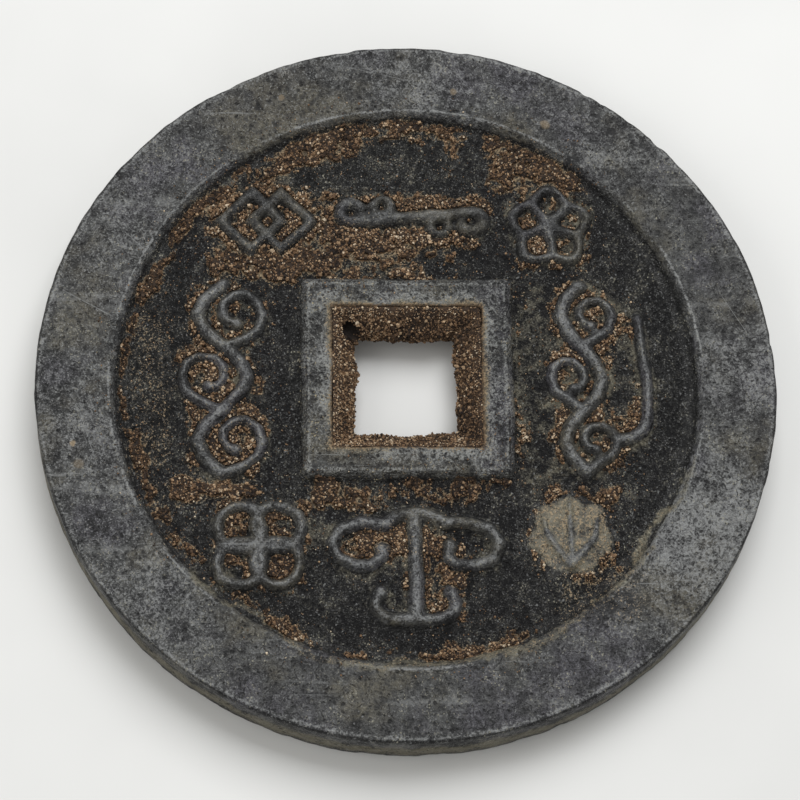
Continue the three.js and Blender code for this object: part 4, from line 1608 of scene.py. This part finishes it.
@dataclass(frozen=True)
class HoleRim:
    """The narrow rim round the square hole, worn round along its edges."""

    sizes: CoinSizes
    skin: CastSkin
    per_side: int = 150
    per_corner: int = 8
    corner: float = 0.55
    foot_overlap: float = 0.08
    foot_depth: float = 0.05
    edge_rounding: float = 0.42
    outer_rounding: float = 0.25
    wall_setback: float = 0.08
    wall_start: Point = (0.06, 0.07)
    normal_step: float = 0.01
    unevenness: float = 1.15
    wall_waves: Clouds = Clouds(0, 0.09, 4.2, apart=5)
    outer_edge: Line = Line(0, 0.4)
    inner_edge: Line = Line(0.2, 0.5)
    dent_depth: float = 0.09
    dents: Breaks = Breaks(1.3, -0.2, 0.8, apart=3)
    dent_slope: float = 0.1
    bore_reach: Point = (0.05, 0.5)
    bore_stain: float = 0.5
    stain_reach: float = 0.5
    lip_reach: float = 1.3
    lip_clouds: Clouds = Clouds(0.72, 0.5, 2.1, apart=13)
    lip_dust: float = 0.85
    lip_film: float = 0.75
    dust_share: float = 0.6
    land_depth: float = 0.15
    # Painted shade: a dark outline along the outer brink of the land, where the wall falls away.
    brink: Line = Line(-0.12, 0.16)
    brink_slope: Point = (0.2, 0.6)
    brink_painted_shade: float = 0.65
    brink_breaks: Breaks = Breaks(2.4, -0.6, 0.3, apart=9)
    scuff_reach: Point = (0.9, 0.2)
    scuff_clouds: Clouds = Clouds(0.75, 0.6, 1.9, apart=8)
    scuff_wear: float = 0.5
    edge_wear: float = 0.2
    worn_line: Line = Line(-0.38, 0.14, 0.4)
    least_wear: float = 0.05

    def profile(self) -> np.ndarray:
        """The rim's closed outline, clockwise from the bore.

        Returns:
            Rows of reach from the hole's middle and height.
        """
        s = self.sizes
        rounding, outer = self.edge_rounding, self.outer_rounding
        brink = s.hole_half + rounding
        wall = s.hole_land - self.wall_setback
        foot = s.hole_foot + self.foot_overlap
        upper_foot, lower_foot = s.upper_field - self.foot_depth, s.lower_field + self.foot_depth
        upper = [
            straight((s.hole_half, rounding), (s.hole_half, s.thickness - rounding), 12),
            quarter_round((brink, s.thickness - rounding), rounding, 180, 6),
            straight((brink, s.thickness), (wall - outer, s.thickness), 14),
            quarter_round((wall - outer, s.thickness - outer), outer, 90, 3)[:2],
            eased_wall((wall - self.wall_start[0], s.thickness - self.wall_start[1]), (foot, upper_foot), 10),
        ]
        lower = [
            straight((foot, upper_foot), (foot, lower_foot), 2),
            eased_wall((foot, lower_foot), (wall, 0), 7),
            straight((wall, 0), (brink, 0), 7),
            quarter_round((brink, rounding), rounding, 270, 4),
        ]
        return np.concatenate([*upper, *lower])

    def _edges(self, beside: np.ndarray) -> np.ndarray:
        """How close some points are to the rim's two edges."""
        outer = self.outer_edge.at(beside, self.sizes.hole_land)
        return outer + self.inner_edge.at(beside, self.sizes.hole_half)

    def _bends(self, points: np.ndarray, out: np.ndarray, beside: np.ndarray) -> np.ndarray:
        """How far each point goes out: unevenness, waves in the walls, and dents along the edges.

        Args:
            points: Rows of x, y and z.
            out: The way out at each.
            beside: How far each is beside the hole's middle.

        Returns:
            A height for each point.
        """
        bumps, steep = self.skin.bumps, 1 - np.abs(out[:, 2])
        lift = self.unevenness * self.skin.lift(points) + self.wall_waves.at(points, bumps) * steep
        dents = self.dents.at(points, bumps) * (out[:, 2] > self.dent_slope)
        return lift - self.dent_depth * self._edges(beside) * dents

    def _marks(
        self, points: np.ndarray, out: np.ndarray, beside: np.ndarray, sand: SandCover
    ) -> dict[str, np.ndarray]:
        """What the finish reads: what lies on the metal; how proud it stands, lowered along the land's outer
        brink as painted shade; and how worn it is.

        Args:
            points: Rows of x, y and z.
            out: The way out at each.
            beside: How far each is beside the hole's middle.
            sand: The sand on the upper face.

        Returns:
            A number for each point, by the name of the mark.
        """
        s, bumps = self.sizes, self.skin.bumps
        half = s.thickness / 2
        upper = points[:, 2] > half
        marks = sand.marks(points, upper)
        bore = fade(beside, *(s.hole_half + reach for reach in self.bore_reach))
        lip = fade(beside, s.hole_half, s.hole_half + self.lip_reach) * self.lip_clouds.at(points, bumps)
        outside = beside > s.hole_land - self.stain_reach
        marks["stain"] = np.maximum(marks["stain"] * outside, self.bore_stain * bore)
        marks["dust"] = np.maximum(self.dust_share * marks["dust"], self.lip_dust * lip)
        marks["film"] = np.maximum(marks["film"], self.lip_film * lip * upper)

        rise = smooth_step(np.abs(points[:, 2] - half), s.upper_field - half, half - self.land_depth)
        # Painted shade: the outer brink is darkened by lowering the rise.
        brink = self.brink.at(beside, s.hole_land) * smooth_step(out[:, 2], *self.brink_slope)
        marks["rise"] = rise * (1 - self.brink_painted_shade * brink * self.brink_breaks.at(points, bumps))

        inner, outer = self.scuff_reach
        scuffed = fade(beside, s.hole_half + inner, s.hole_land - outer)
        scuffed *= self.scuff_clouds.at(points, bumps)
        edges = self.edge_wear * np.clip(self._edges(beside), 0, 1) + self.worn_line.at(beside, s.hole_land)
        marks["wear"] = (self.least_wear + self.scuff_wear * scuffed + edges) * upper
        return marks

    def build(self, finish: Material, sand: SandCover) -> None:
        """Builds the rim.

        Args:
            finish: The patina.
            sand: The sand on the upper face, which stains the rim's outer foot.
        """
        s = self.sizes
        profile = self.profile()
        ring = (self.corner, self.per_side, self.per_corner, s.hole_shift)
        flat = square_ring(profile[:, 0], *ring)
        around = (square_ring(profile[:, 0] + self.normal_step, *ring) - flat) / self.normal_step
        points, out = swept(profile, flat, around)
        beside = np.maximum(np.abs(points[:, 0]), np.abs(points[:, 1] - s.hole_shift))
        points = points + out * self._bends(points, out, beside)[:, None]
        points[:, 2] = np.clip(points[:, 2], 0, None)
        draft = MeshDraft()
        marks = self._marks(points, out, beside, sand)
        draft.add(*closed_sheet(points.reshape(len(profile), -1, 3)), **marks)
        draft.build("rim_of_hole", finish, Slot.RIM, ["hole_rim"])


@dataclass(frozen=True)
class Ornament:
    """One raised ornament, softened and worn, standing on its field."""

    node: str
    face: CoinFace
    sunk: float = 0.12
    tucked: float = 0.04
    border_height: float = 0.1
    border_reach: float = 0.55
    wear: float = 0.65
    far_wear: float = 0.28
    far_shade: float = 0.4
    far_from: Point = (11, 14)
    proud: Point = (0.05, 0.75)
    crest: Point = (0.6, 0.98)

    def _trimmed(self, x: np.ndarray, y: np.ndarray, height: np.ndarray) -> None:
        """Moves the places along the ornament's border to where it meets its floor, so that it is even.

        Args:
            x: The places' x, as a grid. It is changed.
            y: The places' y, as a grid. It is changed.
            height: The ornament's height at each.
        """
        relief = self.face.relief
        over = height - relief.floor
        border = (over > 0) & (height < relief.floor + self.border_height)
        slopes = np.gradient(height, relief.pitch)
        steepness = slopes[0] ** 2 + slopes[1] ** 2 + 1e-6
        reach = self.border_reach * relief.pitch
        for grid, slope in zip((x, y), slopes):
            step = np.clip(-over * slope / steepness, -reach, reach)
            grid[border] += step[border]

    def build(self, finish: Material, sand: SandCover | None) -> None:
        """Builds the ornament.

        Args:
            finish: The patina.
            sand: The sand on the face, which stains the ornament, or None.
        """
        relief = self.face.relief
        height = relief.parts[self.node]
        spans = (relief.axis[span] for span in relief.windows[self.node])
        x, y = np.meshgrid(*spans, indexing="ij")
        self._trimmed(x, y, height)
        sign = self.face.facing.value
        top = self.face.ground(x, y) + sign * (height - self.tucked)
        bottom = self.face.level - sign * self.sunk
        points, faces, used = height_solid(x, y, top, bottom, whole_cells(height > relief.floor))
        share = np.tile(height[used], 2)
        marks = {} if sand is None else sand.marks(points)
        far = smooth_step(points[:, 1], *self.far_from)
        marks["rise"] = (1 - self.far_shade * far) * smooth_step(share, *self.proud)
        wear = self.wear + (self.far_wear - self.wear) * far
        marks["wear"] = wear * smooth_step(share, *self.crest)
        draft = MeshDraft()
        draft.add(points, faces, **marks)
        draft.build(f"ornament_{self.node}", finish, Slot.RELIEF, [self.node])


class GrainMaker:
    """Makes sand grains: rough little solids of twelve faces."""

    size_spread = 0.36
    size_limits: Point = (0.45, 2.5)
    tint_spread = 0.25
    tint_limits: Point = (0.02, 0.96)
    roughness: Point = (0.75, 1.25)

    def __init__(self, seed: int) -> None:
        """Draws the pattern of all grains.

        Args:
            seed: The seed of their sizes, turns and tints.
        """
        self.random = np.random.default_rng(seed)
        self.pattern = np.array(list(itertools.product((-1, 1), repeat=3))) / math.sqrt(3)
        faces = []
        for axis, side in itertools.product(range(3), (-1, 1)):
            a, b, c, d = np.flatnonzero(self.pattern[:, axis] * side > 0)
            for ring in ((a, b, d), (a, d, c)):
                first, second, third = self.pattern[list(ring)]
                outward = np.dot(np.cross(second - first, third - first), first) > 0
                faces.append(ring if outward else ring[::-1])
        self.faces = np.array(faces)

    def sizes(self, count: int, typical: float) -> np.ndarray:
        """Random radii round a typical one."""
        low, high = (limit * typical for limit in self.size_limits)
        return np.clip(typical * self.random.lognormal(0, self.size_spread, count), low, high)

    def tints(self, middles: np.ndarray) -> np.ndarray:
        """Random tints round some middle ones, from 0, dark, to 1, pale."""
        return np.clip(self.random.normal(middles, self.tint_spread), *self.tint_limits)

    def add(self, draft: MeshDraft, middles: np.ndarray, radii: np.ndarray, tints: np.ndarray) -> None:
        """Adds grains to a draft.

        Args:
            draft: The draft of the piece.
            middles: Rows of x, y and z.
            radii: Each grain's radius.
            tints: Each grain's tint.
        """
        count = len(middles)
        if not count:
            return
        turn = self.random.normal(size=(count, 4))
        w, x, y, z = (turn / np.linalg.norm(turn, axis=1, keepdims=True)).T
        spin = np.array(
            [
                [1 - 2 * (y * y + z * z), 2 * (x * y - z * w), 2 * (x * z + y * w)],
                [2 * (x * y + z * w), 1 - 2 * (x * x + z * z), 2 * (y * z - x * w)],
                [2 * (x * z - y * w), 2 * (y * z + x * w), 1 - 2 * (x * x + y * y)],
            ]
        ).transpose(2, 0, 1)
        corners = len(self.pattern)
        shape = self.pattern * self.random.uniform(*self.roughness, (count, corners, 1))
        shape = shape * self.random.uniform(*self.roughness, (count, 1, 3))
        points = np.einsum("nij,nkj->nki", spin, shape) * radii[:, None, None] + middles[:, None]
        faces = self.faces[None] + corners * np.arange(count)[:, None, None]
        draft.add(points.reshape(-1, 3), [faces.reshape(-1, 3)], smooth=False, tint=np.repeat(tints, corners))


@dataclass(frozen=True)
class CrustPatch:
    """A patch of caked sand on the upper field: an uneven crust with grains in it and round it."""

    node: str
    cover: SandCover
    grains: GrainMaker
    thickness: float = 0.24
    grain_radius: float = 0.09
    grains_per_area: float = 38.0
    loose_share: float = 0.04
    loose_reach: float = 1.6
    lumps: tuple[Point, ...] = ((1.3, 0.4), (0.5, 0.35), (0.26, 0.25))
    lumps_level: float = 3.0
    lumps_reach: float = 0.8
    every: int = 2
    least_depth: float = 0.012
    tucked: float = 0.02
    sunk: float = 0.1
    bare_stroke: float = 0.5
    caked: Point = (0.35, 1)
    least_cover: float = 0.3
    loose_cover: float = 0.02
    least_size: float = 0.6
    full_size_cover: float = 0.6
    bedded: Point = (0.75, 1.05)
    standing: Point = (0.0, 0.55)
    # Partly the caked sand's own dark brown, partly painted shade: kept dark so the gaps between grains look
    # shaded.
    crust_colour_and_gap_shade: Point = (0.07, 0.16)
    hollow_tone: float = 0.1
    lump_tone: float = 0.24

    def _depth(self, x: np.ndarray, y: np.ndarray, cover: np.ndarray) -> tuple[np.ndarray, np.ndarray]:
        """Reads how deep the crust is.

        Args:
            x: Places in x.
            y: Places in y.
            cover: How thickly the sand lies at each.

        Returns:
            The depth at each place, and the lumps in it from -1 to 1.
        """
        bumps = self.cover.face.skin.bumps
        lumps = bumps.layers(at_level(x, y, self.lumps_level), self.lumps).reshape(x.shape)
        return self.thickness * smooth_step(cover, *self.caked) * (1 + self.lumps_reach * lumps), lumps

    def _crust(self, draft: MeshDraft) -> None:
        """Adds the caked crust.

        Args:
            draft: The draft of the piece.
        """
        face = self.cover.face
        axis = face.relief.axis[:: self.every]
        cover = self.cover.covers[self.node][:: self.every, :: self.every]
        spans = (np.flatnonzero((cover > self.least_cover).any(axis=a)) for a in (1, 0))
        window = tuple(slice(span[0] - 1, span[-1] + 2) for span in spans)
        x, y = np.meshgrid(*(axis[span] for span in window), indexing="ij")
        depth, lumps = self._depth(x, y, cover[window])
        top, inside = face.surface(x, y) + depth - self.tucked, whole_cells(depth > self.least_depth)
        points, faces, used = height_solid(x, y, top, face.level - self.sunk, inside)
        # Partly painted shade: the dark crust shows as shaded gaps between the grains.
        middle, swing = self.crust_colour_and_gap_shade
        draft.add(points, faces, tint=np.tile(middle + swing * lumps[used], 2))

    def _scatter(self, draft: MeshDraft) -> None:
        """Adds the grains: packed in the crust, and a few loose ones round it.

        Args:
            draft: The draft of the piece.
        """
        face, relief, random = self.cover.face, self.cover.face.relief, self.grains.random
        covers = self.cover.covers[self.node]
        nearby = blurred(covers, self.loose_reach / relief.pitch) > self.loose_cover
        chances = covers + self.loose_share * nearby
        rows, columns = (np.flatnonzero((chances > 0).any(axis=a)) for a in (1, 0))
        low_x, high_x, low_y, high_y = relief.axis[[rows[0], rows[-1], columns[0], columns[-1]]]
        count = int((high_x - low_x) * (high_y - low_y) * self.grains_per_area)
        x, y = random.uniform(low_x, high_x, count), random.uniform(low_y, high_y, count)
        kept = random.random(count) < relief.at(x, y, chances)
        kept &= relief.at(x, y) < self.bare_stroke
        x, y = x[kept], y[kept]
        cover = relief.at(x, y, covers)
        size = self.least_size + (1 - self.least_size) * smooth_step(cover, 0, self.full_size_cover)
        radii = self.grains.sizes(len(x), self.grain_radius) * size
        depth, lumps = self._depth(x, y, cover)
        z = face.surface(x, y) + np.clip(depth, 0, None) * random.uniform(*self.bedded, len(x))
        z += radii * random.uniform(*self.standing, len(x))
        tone = relief.at(x, y, self.cover.tones) + self.hollow_tone * relief.at(x, y, self.cover.hollows)
        tone += self.lump_tone * lumps
        self.grains.add(draft, np.stack([x, y, z], axis=1), radii, self.grains.tints(tone))

    def build(self, finish: Material) -> None:
        """Builds the patch.

        Args:
            finish: The sand.
        """
        draft = MeshDraft()
        self._crust(draft)
        self._scatter(draft)
        draft.build(f"sand_{self.node}", finish, Slot.CRUST, [self.node])


@dataclass(frozen=True)
class HoleCrust:
    """The thick sandy crust that lines the hole, ragged along its inner edge."""

    sizes: CoinSizes
    bumps: BumpField
    grains: GrainMaker
    per_side: int = 84
    per_corner: int = 8
    rows: int = 26
    reach: tuple[float, float, float, float] = (2.3, 2.45, 2.15, 1.75)
    setback: float = 0.22
    grain_radius: float = 0.09
    grain_count: int = 14200
    pocket: tuple[float, float, float] = (-5.45, 5.6, 3.6)
    pocket_radius: float = 0.95
    pocket_depth: float = 0.85
    foot: float = 0.2
    corner: float = 0.45
    tucked: float = 0.06
    normal_step: float = 0.01
    swell: Point = (0.45, 0.45)
    ragged: tuple[Point, ...] = ((3.0, 0.16), (1.3, 0.16), (0.6, 0.14), (0.33, 0.1))
    ragged_reach: Point = (0.45, 0.3)
    top_crowding: float = 1.25
    grain_heights: Point = (0.16, 0.05)
    reach_power: int = 4
    swell_start: Point = (-0.12, 0.5)
    top_swell: float = 0.02
    flatness: float = 0.8
    pocket_edge: Point = (0.25, 0.6)
    pocket_bareness: float = 1.4
    # Painted shade in the pocket, where the crust is missing: its grains are darkened.
    pocket_painted_shade: float = 0.4
    least_height: float = 0.05
    bedded: Point = (-0.1, 0.8)
    top_band: Point = (4.2, 4.9)
    top_fineness: float = 0.35
    top_tone: float = 0.16
    low_band: Point = (1.2, 3.6)
    low_tone: float = 0.1
    # Painted light and shade: grains are lighter on the left of the hole and darker on the right.
    painted_side_light: float = 0.09
    tone: float = 0.43
    tone_clouds: Clouds = Clouds(0, 0.14, 1.6)
    # Partly the caked sand's own dark brown, partly painted shade: kept dark so the gaps between grains look
    # shaded.
    crust_colour_and_gap_shade: Clouds = Clouds(0.12, 0.1, 0.5)
    # Painted shade in the pocket: the crust's face is darkened there.
    crust_pocket_painted_shade: float = 0.5

    def _reach_at(self, x: np.ndarray, y: np.ndarray) -> np.ndarray:
        """How far the crust reaches into the hole, by the way that each place looks from the middle.

        Args:
            x: The places' x from the hole's middle.
            y: The places' y from it.

        Returns:
            A reach for each place.
        """
        right, far, left, near = self.reach
        weights = [np.clip(v, 0, None) ** self.reach_power for v in (x, y, -x, -y)]
        total = sum(w * r for w, r in zip(weights, (right, far, left, near)))
        return total / sum(weights)

    def _swell(self) -> np.ndarray:
        """How far the crust swells out at each row, from top to bottom, as a share of its reach.

        Returns:
            A share for each row.
        """
        share = np.linspace(0, 1, self.rows)
        widest, thinning = self.swell
        upper = smooth_step(share, *self.swell_start)
        result = np.where(share < widest, upper, 1 - thinning * smooth_step(share, widest, 1))
        result[0] = self.top_swell
        return result

    def surface(self) -> tuple[np.ndarray, np.ndarray]:
        """Shapes the crust.

        Returns:
            The points of its face and its hidden back, as rows from top to bottom and up again, and how far
            each lies in the pocket, from 0 to 1.
        """
        s, swell = self.sizes, self._swell()[:, None]
        high = s.thickness - self.setback
        height = high + (self.foot - high) * np.linspace(0, 1, self.rows)
        back_half = np.full(self.rows, s.hole_half + self.tucked)
        ring = (self.corner, self.per_side, self.per_corner, s.hole_shift)
        back = square_ring(back_half, *ring)
        inward = (square_ring(back_half - self.normal_step, *ring) - back) / self.normal_step
        reach = self._reach_at(back[..., 0], back[..., 1] - s.hole_shift)
        front = raised(back, height)
        rear = front[::-1][:: self.rows // 2].copy()
        flat = front.reshape(-1, 3) * np.array([1, 1, self.flatness])
        ragged = self.bumps.layers(flat, self.ragged).reshape(back.shape[:2])
        depth = swell * reach * (1 + self.ragged_reach[0] * ragged)
        front[..., :2] += inward * depth[..., None]
        distance = np.linalg.norm(front - np.array(self.pocket), axis=-1)
        hollow = smooth_step(hump(distance, 0, self.pocket_radius), *self.pocket_edge)
        front[..., :2] -= inward * (self.pocket_depth * depth * hollow)[..., None]
        lifted = front[..., 2] + self.ragged_reach[1] * ragged * swell
        front[..., 2] = np.clip(lifted, self.least_height, None)
        dark = np.concatenate([hollow, np.zeros(rear.shape[:2])])
        return np.concatenate([front, rear]), dark

    def _scatter(self, draft: MeshDraft, rows: np.ndarray, hollow: np.ndarray) -> None:
        """Adds the grains all over the crust's face.

        Args:
            draft: The draft of the piece.
            rows: The crust's points, as rows by columns by x, y and z.
            hollow: How far each point lies in the pocket.
        """
        random, count, thickness = self.grains.random, self.grain_count, self.sizes.thickness
        u = random.random(count) ** self.top_crowding * (self.rows - SHORT_OF_LAST)
        v = random.random(count) * rows.shape[1]
        i, j = u.astype(int), v.astype(int)
        s, t = (u - i)[:, None], (v - j)[:, None]
        following = (j + 1) % rows.shape[1]
        a, b, c, d = rows[i, j], rows[i + 1, j], rows[i, following], rows[i + 1, following]
        place = (a * (1 - s) + b * s) * (1 - t) + (c * (1 - s) + d * s) * t
        out = np.cross(b - a, c - a)
        out /= np.linalg.norm(out, axis=1, keepdims=True) + 1e-9
        middle = np.array([0, self.sizes.hole_shift, thickness / 2])
        out *= np.sign(np.einsum("ij,ij->i", out, middle - place))[:, None]
        radii = self.grains.sizes(count, self.grain_radius)
        place = place + out * (radii * random.uniform(*self.bedded, count))[:, None]
        empty, z = hollow[i, j], place[:, 2]
        inside = (z > self.grain_heights[0]) & (z < thickness - self.grain_heights[1])
        inside &= random.random(count) > self.pocket_bareness * empty
        near_top = smooth_step(z, *self.top_band)
        radii *= 1 - self.top_fineness * near_top
        tones = self.tone + self.top_tone * near_top - self.low_tone * fade(z, *self.low_band)
        # Painted shade: grains in the pocket are darker.
        tones -= self.pocket_painted_shade * empty
        # Painted light and shade: lighter grains to the left, darker to the right.
        rightness = np.clip(place[:, 0] / self.sizes.hole_half, -1, 1)
        tones += self.tone_clouds.at(place, self.bumps) - self.painted_side_light * rightness
        self.grains.add(draft, place[inside], radii[inside], self.grains.tints(tones[inside]))

    def build(self, finish: Material) -> None:
        """Builds the crust.

        Args:
            finish: The sand.
        """
        rows, hollow = self.surface()
        points, faces = closed_sheet(rows)
        draft = MeshDraft()
        # Painted shade: the crust is darkened in the pocket.
        tint = self.crust_colour_and_gap_shade.at(points, self.bumps) - self.crust_pocket_painted_shade * np.sqrt(hollow.ravel())
        draft.add(points, faces, tint=tint)
        self._scatter(draft, rows, hollow)
        nodes = [f"hole_crust_{side}" for side in ("far", "left", "near", "right")]
        draft.build("sand_in_hole", finish, Slot.CRUST, nodes)


LEAF_PLACE = ((10.5, 20.0), (-19.5, -10.0))
SAND_BANKS = (
    SandBank("crust_far_arc", ((50, 130), (25.6, 27.9)), 0.8, along_rim=True, tone=0.42),
    SandBank("crust_far_arc", ((128, 218), (26.5, 27.8)), 0.74, along_rim=True, edge=0.7, tone=0.35),
    SandBank("crust_far_arc", ((76, 136), (24.8, 27.0)), 0.66, along_rim=True, tone=0.46),
    SandBank("crust_far_arc", ((50, 74), (22.4, 27.2)), 0.78, along_rim=True, edge=1.4),
    SandBank("crust_near_arc", ((232, 298), (26.6, 27.8)), 0.56, along_rim=True, edge=0.7, tone=0.52),
    SandBank("crust_near_arc", ((214, 236), (26.2, 27.8)), 0.5, along_rim=True, edge=0.8, tone=0.4),
    SandBank("crust_over_band", ((-8.5, 8.0), (16.8, 20.2)), 0.95, tone=0.52),
    SandBank("crust_over_band", ((-19.5, -8.0), (12.5, 21.0)), 0.98, hollow=0.75, edge=1.1, tone=0.5),
    SandBank("crust_under_band", ((-19.0, -8.0), (10.7, 13.4)), 1.0, edge=0.7, tone=0.44),
    SandBank("crust_under_band", ((-8.5, 7.5), (13.8, 16.4)), 0.95, edge=0.9, tone=0.5),
    SandBank("crust_under_band", ((-8.0, 9.8), (10.8, 11.4)), 0.8, edge=0.4, tone=0.6),
    SandBank("crust_under_band", ((-8.5, 7.0), (11.2, 14.0)), 0.5, edge=1.1, tone=0.45),
    SandBank("crust_left_foot", ((-22.4, -14.0), (-11.6, -9.7)), 0.95, edge=0.8),
    SandBank("crust_left_foot", ((-22.5, -13.5), (-9.0, 10.5)), 0.86, hollow=0.9, edge=1.2, tone=0.52),
    SandBank("crust_right_foot", ((12.6, 20.8), (-11.9, -9.7)), 0.85, edge=0.8),
    SandBank("crust_right_foot", ((12.5, 22.5), (-9.0, 10.5)), 0.78, hollow=0.92, edge=1.2, tone=0.52),
    SandBank("crust_right_foot", ((10.3, 11.1), (-9.0, 11.0)), 0.62, edge=0.4, tone=0.6),
    SandBank("crust_right_foot", ((10.0, 20.0), (11.5, 21.5)), 0.66, hollow=0.85, edge=1.2),
    SandBank("crust_hole_foot", ((-9.5, 9.5), (-12.4, -10.3)), 0.72, edge=0.9, tone=0.42),
    SandBank("crust_hole_foot", ((-9.8, 9.8), (-10.5, -9.9)), 0.8, edge=0.4),
    SandBank("crust_hole_foot", ((-18.5, -9.5), (-21.0, -12.0)), 0.74, hollow=0.85, tone=0.42),
    SandBank("crust_cloud_foot", ((-1.0, 6.0), (-23.6, -15.0)), 0.85, hollow=0.55, edge=1.1),
    SandBank("crust_cloud_foot", ((-6.5, 0.0), (-17.5, -14.6)), 0.82, hollow=0.25),
    SandBank("crust_cloud_foot", LEAF_PLACE, 0.74, hollow=0.7, edge=1.2, tone=0.6),
    SandBank("crust_cloud_foot", LEAF_PLACE, 0.58, edge=1.5, soil=Soil.FILM, on_relief=True),
    SandBank("crust_cloud_foot", LEAF_PLACE, 0.55, edge=1.5, soil=Soil.DUST, on_relief=True),
    SandBank("crust_cloud_foot", ((13.0, 22.0), (-24.0, -17.0)), 0.4, edge=1.6, soil=Soil.DUST),
    SandBank("crust_left_foot", ((-26.5, -22.5), (-9.0, 8.0)), 0.4, edge=1.6, soil=Soil.DUST),
    SandBank("crust_near_arc", ((222, 345), (27.5, 28.3)), 0.5, along_rim=True, edge=0.4, soil=Soil.FILM),
    SandBank("crust_near_arc", ((232, 335), (27.5, 28.2)), 0.42, along_rim=True, edge=0.4, soil=Soil.DUST),
    SandBank("crust_left_foot", ((-24.0, -11.0), (-12.0, 11.5)), 0.4, hollow=0.8, edge=2.0, soil=Soil.FILM),
    SandBank("crust_over_band", ((-22.0, 20.0), (11.0, 24.0)), 0.4, hollow=0.7, edge=2.0, soil=Soil.FILM),
    SandBank("crust_right_foot", ((9.5, 15.0), (-11.0, 11.0)), 0.34, edge=1.6, soil=Soil.FILM),
    SandBank("crust_right_foot", ((13.0, 24.0), (-11.0, 11.5)), 0.5, hollow=0.7, edge=2.0, soil=Soil.FILM),
    SandBank("crust_cloud_foot", ((-20.0, 11.0), (-23.0, -11.0)), 0.35, hollow=0.8, edge=2.0, soil=Soil.FILM),
)


@dataclass(frozen=True)
class Lamp:
    """A soft square lamp that looks at the coin: its place and side in metres, its energy in watts."""

    name: str
    place: tuple[float, float, float]
    side: float
    energy: float
    colour: Colour

    def build(self) -> None:
        """Places the lamp."""
        data = bpy.data.lights.new(self.name, "AREA")
        data.size = self.side
        data.energy = self.energy
        data.color = self.colour
        lamp = placed(self.name, data)
        lamp.location = self.place
        lamp.rotation_euler = (-Vector(self.place)).to_track_quat("-Z", "Y").to_euler()


@dataclass(frozen=True)
class Studio:
    """The pale floor, the soft light and the camera at the photograph's angle."""

    azimuth: float = -7.77
    elevation: float = 69.63
    roll: float = 7.46
    distance: float = 283.3
    lens: float = 133.65
    aim: Point = (0.73, 1.895)
    sensor: float = 36
    floor_colour: Colour = (0.75, 0.75, 0.735)
    floor_cloud: float = 0.94
    floor_half: float = 2.0
    sky_colour: Colour = (1.0, 1.0, 0.985)
    sky_strength: float = 0.47
    lamps: tuple[Lamp, ...] = (
        Lamp("window", (0.13, 0.4, 0.64), 0.55, 4.5, (0.98, 0.99, 1.0)),
        Lamp("fill", (-0.6, -0.1, 0.5), 0.5, 1.2, (1.0, 0.98, 0.95)),
    )

    def camera(self, target: Vector) -> None:
        """Places the camera.

        Args:
            target: The middle of the coin's upper side, in millimetres.
        """
        az, el, roll = (math.radians(a) for a in (self.azimuth, self.elevation, self.roll))
        back = Vector((math.sin(az) * math.cos(el), -math.cos(az) * math.cos(el), math.sin(el)))
        right = Vector((math.cos(az), math.sin(az), 0))
        up = back.cross(right)
        x_axis = math.cos(roll) * right + math.sin(roll) * up
        y_axis = -math.sin(roll) * right + math.cos(roll) * up
        data = bpy.data.cameras.new("camera")
        data.lens = self.lens
        data.sensor_width = self.sensor
        camera = placed("camera", data)
        spin = Matrix((x_axis, y_axis, back)).transposed()
        place = target + self.distance * back - self.aim[0] * x_axis - self.aim[1] * y_axis
        camera.matrix_world = Matrix.Translation(place * MM) @ spin.to_4x4()
        bpy.context.scene.camera = camera

    def floor(self) -> None:
        """Lays the pale, faintly clouded floor."""
        sketch = NodeSketch("pale_floor")
        clouds = sketch.ramp(sketch.noise(28, 3, 0.5, shift=1), 0.3, 0.7)
        darker = tuple(self.floor_cloud * part for part in self.floor_colour)
        tone = sketch.blend(clouds, darker, self.floor_colour)
        sketch.feed(sketch.shader, {"Base Color": tone, "Roughness": 0.5})
        half = self.floor_half
        corners = [(-half, -half, 0), (half, -half, 0), (half, half, 0), (-half, half, 0)]
        mesh = bpy.data.meshes.new("floor")
        mesh.from_pydata(corners, [], [(0, 1, 2, 3)])
        mesh.materials.append(sketch.material)
        floor = placed("floor", mesh)

    def world(self) -> None:
        """Sets the even grey light that comes from everywhere."""
        world = bpy.data.worlds.new("studio")
        world.use_nodes = True
        background = world.node_tree.nodes["Background"]
        background.inputs["Color"].default_value = (*self.sky_colour, 1)
        background.inputs["Strength"].default_value = self.sky_strength
        bpy.context.scene.world = world

    def build(self, sizes: CoinSizes) -> None:
        """Sets up everything that isn't the coin.

        Args:
            sizes: The coin's sizes, for the camera's aim.
        """
        self.camera(Vector((0, 0, sizes.thickness)))
        self.floor()
        self.world()
        for lamp in self.lamps:
            lamp.build()
        bpy.context.scene.view_settings.view_transform = "Standard"


def main() -> None:
    """Builds the studio, then every piece of the coin in order."""
    logging.basicConfig(level=logging.INFO, format="%(name)s: %(message)s")
    sizes = CoinSizes.packed()
    Studio().build(sizes)
    skin = CastSkin(BumpField(11))
    upper = CoinFace(Facing.UP, sizes, skin, UPPER_ORNAMENTS)
    lower = CoinFace(Facing.DOWN, sizes, skin, LOWER_ORNAMENTS)
    sand = SandCover(upper, SAND_BANKS)
    finishes = Finishes.mixed()
    OuterRim(sizes, skin).build(finishes.rim, sand)
    FieldPlate(sizes, upper, lower).build(finishes.field, sand)
    HoleRim(sizes, skin).build(finishes.hole_rim, sand)
    for node in UPPER_ORNAMENTS:
        Ornament(node, upper).build(finishes.relief, sand)
    for node in LOWER_ORNAMENTS:
        Ornament(node, lower).build(finishes.relief, None)
    HoleCrust(sizes, skin.bumps, GrainMaker(5)).build(finishes.sand)
    for seed, node in enumerate(dict.fromkeys(bank.node for bank in SAND_BANKS)):
        CrustPatch(node, sand, GrainMaker(100 + seed)).build(finishes.sand)


if __name__ == "__main__":
    main()
